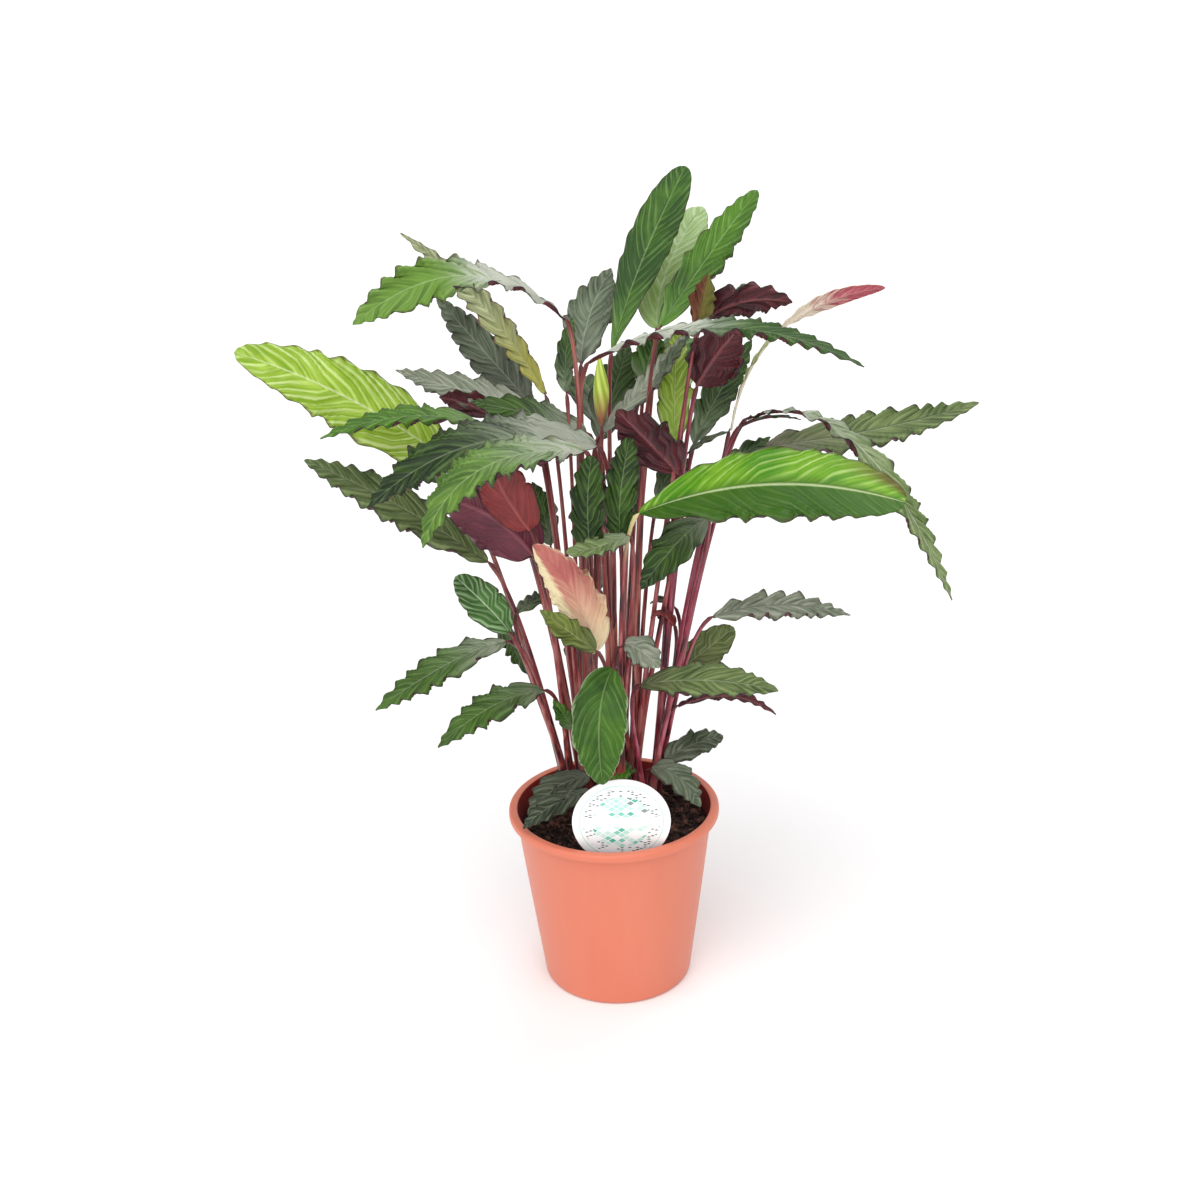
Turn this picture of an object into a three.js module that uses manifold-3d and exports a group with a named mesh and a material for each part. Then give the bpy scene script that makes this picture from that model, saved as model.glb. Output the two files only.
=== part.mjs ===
// A potted prayer plant: long wavy velvet leaves on burgundy stalks, in a terracotta-coloured
// plastic nursery pot with a round white plant label. Millimetres, +Z up, -Y towards the front,
// with the origin at the centre of the pot's base.
import * as THREE from "three";
import { mergeVertices } from "three/addons/utils/BufferGeometryUtils.js";
import Module from "manifold-3d";

const wasm = await Module();
wasm.setup();

// Pot: a 17 cm nursery pot with a rolled lip
const POT_HEIGHT = 150;
const POT_RIM_RADIUS = 84;
const POT_BASE_RADIUS = 60;
const POT_WALL = 2;
const POT_FLOOR = 3;
const LIP_WIDTH = 5;
const LIP_HEIGHT = 7;
const LIP_ROUNDING = 1.5;
const BASE_EDGE_RADIUS = 4;
const POT_SIDES = 48;
const DRAIN_HOLES = 8;
const DRAIN_RADIUS = 4;
const DRAIN_RING = 40;
const DRAIN_SIDES = 12;

// Potting mix and the root crown that the shoots grow from
const FIT_GAP = 0.3;
const MIX_EDGE_HEIGHT = 131;
const MIX_TOP_HEIGHT = 134;
const CROWN_CENTRE = [0, 22];
const CROWN_RADIUS = 48;
const CROWN_TOP = 141;
const CROWN_EDGE_DROP = 2;
const CROWN_EDGE_WIDTH = 10;
const CROWN_SIDES = 28;

// Plant label: a disc and its stake, cut from one sheet
const LABEL_DIAMETER = 75;
const LABEL_THICKNESS = 1;
const LABEL_CENTRE = [5, -67, 170];
const LABEL_LEAN = 4;
const LABEL_CURVE_STEPS = 40;
const STAKE_WIDTH = 10;
const STAKE_LENGTH = 75;

// Leaf blades: the fold is in degrees, and a blade widens towards its base by BASE_SHIFT and
// keeps its width towards its ends by BLUNTNESS
const BLADE_THICKNESS = 1.2;
const BLADE_STEPS = 10;
const BLADE_END_WIDTH = 3;
const BLADE_FOLD = 9;
const BASE_SHIFT = 0.85;
const BLUNTNESS = 0.7;
const MARGIN_WAVE = 2.6;

// Stalks, with the sheath that holds a shoot's stalks together at their feet
const STALK_SIDES = 6;
const STALK_STEPS = 9;
const STALK_FOOT_RADIUS = 2.9;
const STALK_TOP_RADIUS = 1.5;
const FOOT_SPREAD = 3;
const START_REACH = 0.4;
const START_LIFT = 0.3;
const TURN_REACH = 25;
const TURN_SHARE = 0.25;
const SHEATH_RADIUS = 7;
const SHEATH_TOP_RADIUS = 5;
const SHEATH_HEIGHT = 22;
const SHEATH_SIDES = 10;

// Each shoot stands on the crown at its foot and carries the stalks of its own leaves
const SHOOTS = {
  left: { foot: [-31, 24] },
  left_inner: { foot: [-20, 40] },
  centre_left: { foot: [-20, 10] },
  centre_front: { foot: [2, -2] },
  centre: { foot: [12, 20] },
  centre_rear: { foot: [4, 46] },
  right: { foot: [31, 30] },
  right_front: { foot: [25, 6] },
};

// Each leaf: the base, middle and tip of its midrib, its width, and the way its upper side faces
const LEAVES = [
  ["long_low_left", "left", [-90, 5, 357], [-155, 15, 400], [-226, 30, 434], 36, [-0.2, -0.45, 1], "dark"],
  ["striped_left", "left", [-75, -18, 308], [-92, 0, 322], [-117, 20, 340], 30, [-0.2, -0.9, 0.5], "green"],
  ["low_left", "left", [-78, -16, 300], [-120, -30, 290], [-177, -47, 260], 28, [-0.2, -0.6, 1], "dark"],
  ["lowest_left", "left", [-51, -24, 262], [-89, -50, 262], [-130, -68, 238], 28, [-0.2, -0.6, 1], "dark"],
  ["behind_left", "left", [-76, 24, 300], [-80, 43, 280], [-66, 50, 242], 20, [-0.5, -0.8, 0.2], "dark"],
  ["lime_left", "left", [-117, 8, 438], [-186, -5, 491], [-259, -20, 529], 58, [0.3, -0.8, 0.8], "lime"],
  ["curled_left", "left_inner", [-61, 35, 474], [-109, 52, 480], [-154, 47, 497], 28, [0, -0.6, 1], "grey"],
  ["thin_left", "left_inner", [-89, -18, 473], [-143, -40, 484], [-197, -62, 476], 22,
    [0, -0.35, 1], "dark"],
  ["maroon_left", "left", [-54, -32, 374], [-82, -36, 406], [-120, -40, 424], 50, [-0.4, 0.9, 0.3], "dark"],
  ["upper_rear_left", "left_inner", [-52, 40, 467], [-86, 88, 495], [-128, 126, 536], 30,
    [-0.3, -0.8, 0.6], "dark"],
  ["arching_left", "centre_left", [-24, -28, 548], [-90, -62, 586], [-163, -95, 562], 33,
    [-0.1, -0.35, 1], "green"],
  ["arching_right", "centre_left", [-9, -20, 515], [82, -70, 547], [172, -110, 527], 30,
    [0.08, -0.1, 1], "dark"],
  ["high_left", "centre_left", [-42, 22, 481], [-88, 45, 546], [-145, 60, 596], 19,
    [-0.6, -0.5, 0.7], "olive"],
  ["upper_left", "centre_left", [-12, 6, 456], [-50, 2, 471], [-96, 4, 482], 30, [-0.1, -0.6, 1], "dark"],
  ["inner_grey", "centre_left", [-15, 35, 501], [-8, 75, 527], [10, 115, 556], 38,
    [-0.3, -0.9, 0.4], "grey"],
  ["front_left", "centre_front", [-14, -46, 457], [-84, -108, 464], [-122, -146, 423], 40,
    [-0.3, -0.6, 1], "green"],
  ["big_left", "centre_front", [-5, -23, 454], [-90, -52, 466], [-167, -74, 428], 46,
    [-0.2, -0.6, 1], "dark"],
  ["pink_front", "centre_front", [-12, -40, 299], [-24, -52, 349], [-53, -50, 389], 37,
    [0.2, 1, 0.1], "pink"],
  ["hanging_front", "centre_front", [2, -45, 288], [-9, -74, 262], [-8, -84, 211], 42,
    [0, -1, 0.3], "green"],
  ["olive_front", "centre_front", [-10, -53, 306], [-28, -59, 323], [-50, -57, 341], 20,
    [0, -0.8, 0.6], "olive"],
  ["soil_left", "centre_front", [-18, -6, 178], [-45, -20, 176], [-67, -34, 157], 28,
    [-0.2, -0.6, 1], "grey"],
  ["big_right", "centre_front", [23, -44, 408], [110, -94, 443], [199, -130, 439], 52,
    [0, -0.9, 0.6], "lime"],
  ["inner_front", "centre_left", [-8, 12, 366], [-7, 31, 396], [-7, 51, 427], 18, [-0.2, -1, 0.3], "dark"],
  ["inner_front_right", "centre", [12, 8, 374], [17, 28, 401], [24, 50, 433], 24, [0.1, -1, 0.3], "dark"],
  ["inner_upper", "centre_rear", [-2, 60, 434], [9, 92, 463], [23, 130, 492], 34,
    [-0.2, -0.9, 0.4], "dark"],
  ["maroon_centre", "centre", [55, 0, 424], [34, -13, 451], [10, -24, 480], 40, [0.3, 1, 0.2], "dark"],
  ["yellow_centre", "centre", [54, 32, 439], [55, 46, 475], [59, 66, 518], 28, [0.1, -1, 0.3], "lime"],
  ["top", "centre_rear", [8, 30, 510], [31, 52, 569], [67, 85, 635], 36, [-0.4, -0.9, 0.3], "green"],
  ["top_rear", "centre_rear", [42, 48, 522], [53, 90, 559], [83, 140, 597], 46, [-0.2, -0.8, 0.6], "green"],
  ["top_right", "centre", [43, 5, 533], [76, 22, 575], [116, 40, 622], 30, [-0.4, -0.8, 0.4], "green"],
  ["narrow_rear", "centre_left", [-2, 8, 454], [33, 26, 485], [68, 55, 520], 16, [-0.4, -0.8, 0.5], "grey"],
  ["rear_high_left", "centre_rear", [-2, 110, 432], [-13, 162, 453], [-34, 212, 446], 42,
    [0, 0.3, 1], "dark"],
  ["rear_high_right", "centre_rear", [30, 120, 450], [70, 180, 480], [110, 225, 460], 44,
    [0.1, 0.3, 1], "green"],
  ["rear_low", "centre_rear", [-6, 115, 290], [-15, 155, 292], [-20, 195, 262], 30, [0, 0.4, 1], "dark"],
  ["maroon_right", "right", [69, -4, 491], [82, -18, 516], [97, -32, 538], 38, [0.5, 0.9, 0.3], "dark"],
  ["maroon_top_right", "right", [75, 4, 538], [104, -6, 552], [136, -12, 551], 28, [0, 0.9, 0.5], "dark"],
  ["inner_right", "right", [68, 24, 440], [86, 52, 465], [117, 86, 503], 26, [-0.3, -0.8, 0.5], "dark"],
  ["cream_right", "right", [93, 6, 454], [126, -12, 530], [198, -30, 563], 14, [-0.7, -0.1, 0.6], "pink"],
  ["drooping_right", "right", [108, 25, 458], [180, -25, 452], [246, -75, 346], 25,
    [0.5, -0.4, 0.8], "green"],
  ["far_right", "right", [110, 32, 432], [206, 60, 435], [295, 85, 448], 36, [0, -0.5, 1], "dark"],
  ["mid_right", "right", [81, 12, 304], [134, 25, 306], [191, 35, 292], 24, [0, -0.5, 1], "green"],
  ["rear_right", "right", [98, 105, 364], [150, 140, 368], [200, 168, 342], 38, [0.2, 0.3, 1], "dark"],
  ["hanging_right", "right_front", [75, 0, 389], [51, -20, 375], [24, -35, 346], 30,
    [-0.3, -1, 0.5], "dark"],
  ["small_right", "right", [57, 50, 244], [77, 52, 258], [101, 58, 275], 30, [-0.2, -0.8, 0.5], "dark"],
  ["low_right", "right_front", [23, -25, 265], [72, -55, 280], [122, -75, 279], 33, [0, -0.5, 1], "green"],
  ["lowest_right", "right_front", [42, 8, 182], [62, 18, 190], [90, 30, 192], 24, [0, -0.6, 1], "grey"],
  ["soil_right", "right_front", [30, 0, 180], [50, -14, 180], [68, -22, 156], 24, [0.1, -0.6, 1], "grey"],
  ["rear_left", "left_inner", [-80, 100, 380], [-130, 130, 395], [-180, 150, 370], 38,
    [-0.2, 0.3, 1], "dark"],
];

const FINISHES = {
  dark: finish(0x35502f, 0.75),
  green: finish(0x4f8a3c, 0.75),
  lime: finish(0x93bf3a, 0.7),
  olive: finish(0x8a8a3a, 0.75),
  grey: finish(0x7d8a74, 0.8),
  pink: finish(0xcf8a78, 0.75),
  stalk: finish(0x8a3540, 0.6),
  crown: finish(0x54342a, 0.9),
  mix: finish(0x2b201b, 0.95),
  pot: finish(0xe0785a, 0.5),
  label: finish(0xf4f6f4, 0.35),
};

function finish(color, roughness) {
  return new THREE.MeshStandardMaterial({ color, roughness, metalness: 0 });
}

function vector(values) {
  return new THREE.Vector3(...values);
}

// Leaves only shared positions, so that a closed shape has no seams
function welded(geometry) {
  const bare = new THREE.BufferGeometry();
  bare.setAttribute("position", geometry.getAttribute("position"));
  if (geometry.index) bare.setIndex(geometry.index);
  return mergeVertices(bare, 1e-4);
}

function solid(geometry) {
  const shape = welded(geometry);
  return new wasm.Manifold(
    new wasm.Mesh({
      numProp: 3,
      vertProperties: new Float32Array(shape.getAttribute("position").array),
      triVerts: new Uint32Array(shape.index.array),
    }),
  );
}

function geometryOf(body) {
  const mesh = body.getMesh();
  const geometry = new THREE.BufferGeometry();
  geometry.setAttribute("position", new THREE.BufferAttribute(mesh.vertProperties, 3));
  geometry.setIndex(new THREE.BufferAttribute(mesh.triVerts, 1));
  geometry.computeVertexNormals();
  return geometry;
}

function named(name, geometry, material) {
  const mesh = new THREE.Mesh(geometry, material);
  mesh.name = name;
  return mesh;
}

// The curve through a leaf's base, middle and tip
function midrib(base, middle, tip) {
  const control = vector(middle).multiplyScalar(2);
  control.addScaledVector(vector(base), -0.5).addScaledVector(vector(tip), -0.5);
  return new THREE.QuadraticBezierCurve3(vector(base), control, vector(tip));
}

// A leaf is widest a little before its middle and narrows to a pointed tip
function widthAt(share) {
  return Math.pow(Math.sin(Math.PI * Math.pow(share, BASE_SHIFT)), BLUNTNESS);
}

// A flat blade of unit length, whose two sides are split along the same diagonals, so that
// they stay apart when the blade is twisted
function flatBlade() {
  const blade = new THREE.BoxGeometry(1, 2, 1, BLADE_STEPS, 2, 1);
  const corners = blade.index.array;
  const { start, count } = blade.groups.at(-1);
  for (let quad = start; quad < start + count; quad += 6) {
    corners[quad + 2] = corners[quad + 4];
    corners[quad + 3] = corners[quad];
  }
  return blade;
}

// A thin blade bent along its midrib, folded a little along it, with a wavy margin
function bladeGeometry(base, middle, tip, width, facing) {
  const curve = midrib(base, middle, tip);
  const blade = flatBlade();
  const points = blade.getAttribute("position");
  const fold = THREE.MathUtils.degToRad(BLADE_FOLD);
  for (let i = 0; i < points.count; i += 1) {
    const share = points.getX(i) + 0.5;
    const side = points.getY(i);
    const step = Math.round(share * BLADE_STEPS);
    const along = curve.getTangentAt(share);
    const up = vector(facing).projectOnPlane(along).normalize();
    const across = new THREE.Vector3().crossVectors(up, along).normalize();
    const half = Math.max(BLADE_END_WIDTH / 2, (width / 2) * widthAt(share));
    const inner = step > 0 && step < BLADE_STEPS;
    const wave = inner ? MARGIN_WAVE * (step % 2 ? 1 : -1) : 0;
    const rise = Math.abs(side) * (half * Math.sin(fold) + wave);
    const level = rise + points.getZ(i) * BLADE_THICKNESS;
    const place = curve.getPointAt(share);
    place.addScaledVector(across, side * half * Math.cos(fold)).addScaledVector(up, level);
    points.setXYZ(i, place.x, place.y, place.z);
  }
  return welded(blade);
}

// A stalk rises from its shoot's foot and turns into the line of its leaf's midrib
function stalkGeometry(foot, base, middle, tip) {
  const along = midrib(base, middle, tip).getTangentAt(0);
  const end = vector(base).addScaledVector(along, -FIT_GAP);
  const reach = end.distanceTo(foot);
  const lean = end.clone().sub(foot).normalize().multiplyScalar(1 - START_LIFT);
  lean.z += START_LIFT;
  const start = foot.clone().addScaledVector(lean.normalize(), START_REACH * reach);
  const turn = end.clone().addScaledVector(along, -Math.min(TURN_REACH, TURN_SHARE * reach));
  const curve = new THREE.CubicBezierCurve3(foot, start, turn, end);
  const stalk = new THREE.CylinderGeometry(1, 1, 1, STALK_SIDES, STALK_STEPS);
  const points = stalk.getAttribute("position");
  for (let i = 0; i < points.count; i += 1) {
    const share = points.getY(i) + 0.5;
    const direction = curve.getTangentAt(share);
    const first = new THREE.Vector3(1, 0, 0).projectOnPlane(direction).normalize();
    const second = new THREE.Vector3().crossVectors(direction, first);
    const radius = THREE.MathUtils.lerp(STALK_FOOT_RADIUS, STALK_TOP_RADIUS, share);
    const place = curve.getPointAt(share);
    place.addScaledVector(first, points.getX(i) * radius);
    place.addScaledVector(second, -points.getZ(i) * radius);
    points.setXYZ(i, place.x, place.y, place.z);
  }
  return stalk;
}

// One shoot: the sheath at its foot joined with the stalks of its leaves
function shootGeometry(shoot, leaves) {
  const floor = CROWN_TOP + FIT_GAP;
  const sheath = new THREE.CylinderGeometry(
    SHEATH_TOP_RADIUS,
    SHEATH_RADIUS,
    SHEATH_HEIGHT,
    SHEATH_SIDES,
  );
  sheath.rotateX(Math.PI / 2);
  sheath.translate(shoot.foot[0], shoot.foot[1], floor + SHEATH_HEIGHT / 2);
  let body = solid(sheath);
  leaves.forEach(([, , base, middle, tip]) => {
    const foot = vector([...shoot.foot, floor + STALK_FOOT_RADIUS]);
    const towards = vector(base).sub(foot).setZ(0).clampLength(0, FOOT_SPREAD);
    body = body.add(solid(stalkGeometry(foot.add(towards), base, middle, tip)));
  });
  return geometryOf(body);
}

// The outer and inner radius of the pot's wall at a height above its base
function outerRadius(height) {
  const share = height / POT_HEIGHT;
  return THREE.MathUtils.lerp(POT_BASE_RADIUS, POT_RIM_RADIUS - LIP_WIDTH, share);
}

function innerRadius(height) {
  return outerRadius(height) - POT_WALL;
}

function potGeometry() {
  const lipBase = POT_HEIGHT - LIP_HEIGHT;
  const edgeInset = BASE_EDGE_RADIUS * (1 - Math.SQRT1_2);
  const profile = [
    [0, 0],
    [POT_BASE_RADIUS - BASE_EDGE_RADIUS, 0],
    [POT_BASE_RADIUS - edgeInset, edgeInset],
    [outerRadius(BASE_EDGE_RADIUS), BASE_EDGE_RADIUS],
    [outerRadius(lipBase), lipBase],
    [POT_RIM_RADIUS - LIP_ROUNDING, lipBase],
    [POT_RIM_RADIUS, lipBase + LIP_ROUNDING],
    [POT_RIM_RADIUS, POT_HEIGHT - LIP_ROUNDING],
    [POT_RIM_RADIUS - LIP_ROUNDING, POT_HEIGHT],
    [innerRadius(POT_HEIGHT) + LIP_ROUNDING, POT_HEIGHT],
    [innerRadius(POT_HEIGHT), POT_HEIGHT - LIP_ROUNDING],
    [innerRadius(POT_FLOOR), POT_FLOOR],
    [0, POT_FLOOR],
  ];
  const points = profile.map(([radius, height]) => new THREE.Vector2(radius, height));
  const shell = new THREE.LatheGeometry(points, POT_SIDES);
  shell.rotateX(Math.PI / 2);
  let body = solid(shell);
  for (let hole = 0; hole < DRAIN_HOLES; hole += 1) {
    const angle = (2 * Math.PI * hole) / DRAIN_HOLES;
    const depth = 4 * POT_FLOOR;
    const drill = new THREE.CylinderGeometry(DRAIN_RADIUS, DRAIN_RADIUS, depth, DRAIN_SIDES);
    drill.rotateX(Math.PI / 2);
    drill.translate(DRAIN_RING * Math.cos(angle), DRAIN_RING * Math.sin(angle), 0);
    body = body.subtract(solid(drill));
  }
  return geometryOf(body);
}

// The label's outline: a round head that runs into a pointed stake
function labelGeometry(gap) {
  const radius = LABEL_DIAMETER / 2 + gap;
  const half = STAKE_WIDTH / 2 + gap;
  const neck = Math.asin(half / radius);
  const outline = new THREE.Shape();
  outline.absarc(0, 0, radius, -Math.PI / 2 + neck, 1.5 * Math.PI - neck, false);
  const point = -radius - STAKE_LENGTH;
  outline.lineTo(-half, point + 2 * half);
  outline.lineTo(0, point);
  outline.lineTo(half, point + 2 * half);
  const thickness = LABEL_THICKNESS + 2 * gap;
  const sheet = new THREE.ExtrudeGeometry(outline, {
    depth: thickness,
    bevelEnabled: false,
    curveSegments: LABEL_CURVE_STEPS,
  });
  sheet.translate(0, 0, -thickness / 2);
  sheet.rotateX(Math.PI / 2 + THREE.MathUtils.degToRad(LABEL_LEAN));
  sheet.translate(...LABEL_CENTRE);
  return sheet;
}

function mixGeometry() {
  const floor = POT_FLOOR + FIT_GAP;
  const points = [
    new THREE.Vector2(0, floor),
    new THREE.Vector2(innerRadius(floor) - FIT_GAP, floor),
    new THREE.Vector2(innerRadius(MIX_EDGE_HEIGHT) - FIT_GAP, MIX_EDGE_HEIGHT),
    new THREE.Vector2(POT_BASE_RADIUS, MIX_TOP_HEIGHT),
    new THREE.Vector2(0, MIX_TOP_HEIGHT),
  ];
  const heap = new THREE.LatheGeometry(points, POT_SIDES);
  heap.rotateX(Math.PI / 2);
  return geometryOf(solid(heap).subtract(solid(labelGeometry(FIT_GAP))));
}

function crownGeometry() {
  const floor = MIX_TOP_HEIGHT + FIT_GAP;
  const points = [
    new THREE.Vector2(0, floor),
    new THREE.Vector2(CROWN_RADIUS, floor),
    new THREE.Vector2(CROWN_RADIUS - 2 * CROWN_EDGE_DROP, CROWN_TOP - CROWN_EDGE_DROP),
    new THREE.Vector2(CROWN_RADIUS - CROWN_EDGE_WIDTH, CROWN_TOP),
    new THREE.Vector2(0, CROWN_TOP),
  ];
  const crown = new THREE.LatheGeometry(points, CROWN_SIDES);
  crown.rotateX(Math.PI / 2);
  crown.translate(...CROWN_CENTRE, 0);
  return geometryOf(solid(crown));
}

const plant = new THREE.Group();
plant.add(named("nursery_pot", potGeometry(), FINISHES.pot));
plant.add(named("potting_mix", mixGeometry(), FINISHES.mix));
plant.add(named("root_crown", crownGeometry(), FINISHES.crown));
plant.add(named("plant_label", welded(labelGeometry(0)), FINISHES.label));
Object.entries(SHOOTS).forEach(([name, shoot]) => {
  const leaves = LEAVES.filter((leaf) => leaf[1] === name);
  plant.add(named(`shoot_${name}`, shootGeometry(shoot, leaves), FINISHES.stalk));
});
LEAVES.forEach(([name, , base, middle, tip, width, facing, colour]) => {
  const blade = bladeGeometry(base, middle, tip, width, facing);
  plant.add(named(`leaf_${name}`, blade, FINISHES[colour]));
});

export default plant;
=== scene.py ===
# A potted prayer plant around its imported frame: velvet leaves with maroon undersides on
# burgundy stalks, dark peat mix, a terracotta-coloured nursery pot and a round plant label.
# Sizes are in millimetres, and MM turns them to metres where a mesh is made.
import math

import bmesh
import bpy
import numpy as np
from mathutils import Matrix, Vector, noise


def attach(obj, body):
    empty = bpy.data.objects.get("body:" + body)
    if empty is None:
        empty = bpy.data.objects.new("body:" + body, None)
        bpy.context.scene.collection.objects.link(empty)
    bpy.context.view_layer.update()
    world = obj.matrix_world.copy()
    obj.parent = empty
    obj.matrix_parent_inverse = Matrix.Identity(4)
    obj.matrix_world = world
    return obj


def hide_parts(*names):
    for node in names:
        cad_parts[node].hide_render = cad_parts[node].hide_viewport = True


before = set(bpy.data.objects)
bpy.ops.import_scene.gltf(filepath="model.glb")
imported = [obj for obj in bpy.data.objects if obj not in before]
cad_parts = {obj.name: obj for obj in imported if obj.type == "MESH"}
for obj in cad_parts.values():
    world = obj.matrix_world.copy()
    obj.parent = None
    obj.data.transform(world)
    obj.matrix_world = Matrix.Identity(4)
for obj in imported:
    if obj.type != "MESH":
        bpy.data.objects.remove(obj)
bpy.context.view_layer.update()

MM = 0.001
SEED = 7

# Camera: fitted to the pot's rim and base, its angles in degrees
CAMERA_PLACE = (-6.14, -1182.3, 789.9)
CAMERA_PITCH = 21.47
CAMERA_ROLL = -1.74
PICTURE_PIXELS = 1200
FOCAL_PIXELS = 1667
SENSOR_WIDTH = 36

# Studio: the floor's reach, and each softbox's direction, spread in degrees and power
FLOOR_REACH = 60000
SOFTBOXES = {
    "front_softbox": ((-0.2, -0.75, 1), 75, 2.5),
    "rear_softbox": ((0.4, 0.8, 1), 50, 0.7),
}
WORLD_LIGHT = 0.5

# Pot
POT_HEIGHT = 150
POT_RIM_RADIUS = 84
POT_BASE_RADIUS = 60
POT_WALL = 2
POT_FLOOR = 3
LIP_WIDTH = 5
LIP_HEIGHT = 7
LIP_FILLET = 1.5  # under the lip, where it meets the wall
LIP_LOWER_ROUNDING = 2
LIP_OUTER_ROUNDING = 2.6
LIP_INNER_ROUNDING = 1.5
BASE_EDGE_RADIUS = 4
FLOOR_CORNER = 2  # the bevel between the floor and the inner wall
POT_SIDES = 192
DRAIN_HOLES = 8
DRAIN_RADIUS = 4
DRAIN_RING = 40  # the radius of the ring of holes

# Potting mix and root crown
FIT_GAP = 0.3  # between the mix and the pot
MIX_EDGE_HEIGHT = 131
MIX_TOP_HEIGHT = 134
MIX_LUMP = 2.0  # the height of its lumps
LUMP_WIDTHS = (14, 4)
CRUMBS = 1500
CRUMB_SIZES = (0.6, 1.7)
BIG_CRUMB = 2.2  # how much larger the few big ones are
FIBRES = 70
FIBRE_RADII = (0.3, 0.9)
FIBRE_LENGTHS = (4, 13)
CROWN_TOP = 141
CROWN_KNOBS = 46
KNOB_RADII = (3.5, 6.5)
KNOB_SPREAD = 5  # how far knobs lie from the foot of their shoot

# Plant label
LABEL_DIAMETER = 75
LABEL_THICKNESS = 1
LABEL_CENTRE = (5, -67, 170)
LABEL_LEAN = 4  # degrees back from upright
LABEL_EDGE = 0.2  # its edges are rounded this far
STAKE_WIDTH = 10
STAKE_LENGTH = 75
PLAIN_BAND = 4  # half the height of the band with no print
MOSAIC_RADIUS = 22.5
MOSAIC_CELL = (7.07, 4.71)
TICK_CELL = (5.89, 2.02)
TICKS_RADIUS = 26
TICKS_REACH = 3.5  # ticks lie within this reach of their radius
RING_RADIUS = 32
RING_REACH = 0.4  # half the width of the ring

# Curves: the steps in which they are measured, and the places they keep
CURVE_STEPS = 400
SPINE_PLACES = 201

# Leaf blades
BLADE_STEP = 1.25  # the length of a grid cell
BLADE_CELLS = 18  # grid cells across
LEAST_STEPS = 28  # grid cells along the smallest leaf
BLADE_FOLD = 10  # how far each half tilts up from the midrib, in degrees
BLADE_THICKNESS = 0.45
MIDRIB_THICKNESS = 1.7
MIDRIB_REACH = 1.3  # how far out the midrib is thick
GROOVE_DEPTH = 0.5  # of the groove over the midrib
GROOVE_REACH = 1.1
FOLD_LENGTH = 10  # from one fold to the next, on the narrowest leaf
FOLD_GROWTH = 0.25  # how much longer folds are for each millimetre of a leaf's width
FULL_FOLD_WIDTH = 24  # narrower leaves have lower folds
VEIN_SWEEP = 1.3  # how far folds sweep towards the tip on their way out
PLEAT = 0.45  # the share of a fold's height that starts near the midrib
RIBS_A_FOLD = 4  # small veins to a fold

# Stalks
STALK_STEP = 5  # the length of a grid cell
STALK_SIDES = 10
STALK_FOOT_RADIUS = 2.9
STALK_TOP_RADIUS = 1.5
FOOT_SPREAD = 3  # how far a stalk stands from the middle of its shoot
START_REACH = 0.4  # how far it keeps its first direction, as a share of its reach
START_LIFT = 0.3  # how far that direction turns up from the straight way to its blade
TURN_REACH = 25  # how far before the blade it turns into the midrib's line
TURN_SHARE = 0.25  # and at most this share of its reach
BLADE_OVERLAP = 1.5  # how far it runs into the blade
NECK_LENGTH = 16
SHEATH_SIDES = 14

# Grain: the sizes of the patterns in materials
NAP_GRAIN = 1
BLOTCH_SIZE = 33.3
FLOW_MARK_WIDTH = 25
FLOW_MARK_LENGTH = 143
ORANGE_PEEL = 1.43
# The wandering edge of the painted shade inside the pot: its size, and how far it moves up and down
SHADE_EDGE_SIZE = 11.1
SHADE_EDGE_HEIGHT = 12
PEAT_GRAIN = 1.11
CLOUD_SIZE = 16.7

# Each shoot's foot on the mix
SHOOTS = {
    "left": (-31, 24),
    "left_inner": (-20, 40),
    "centre_left": (-20, 10),
    "centre_front": (2, -2),
    "centre": (12, 20),
    "centre_rear": (4, 46),
    "right": (31, 30),
    "right_front": (25, 6),
}

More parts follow.
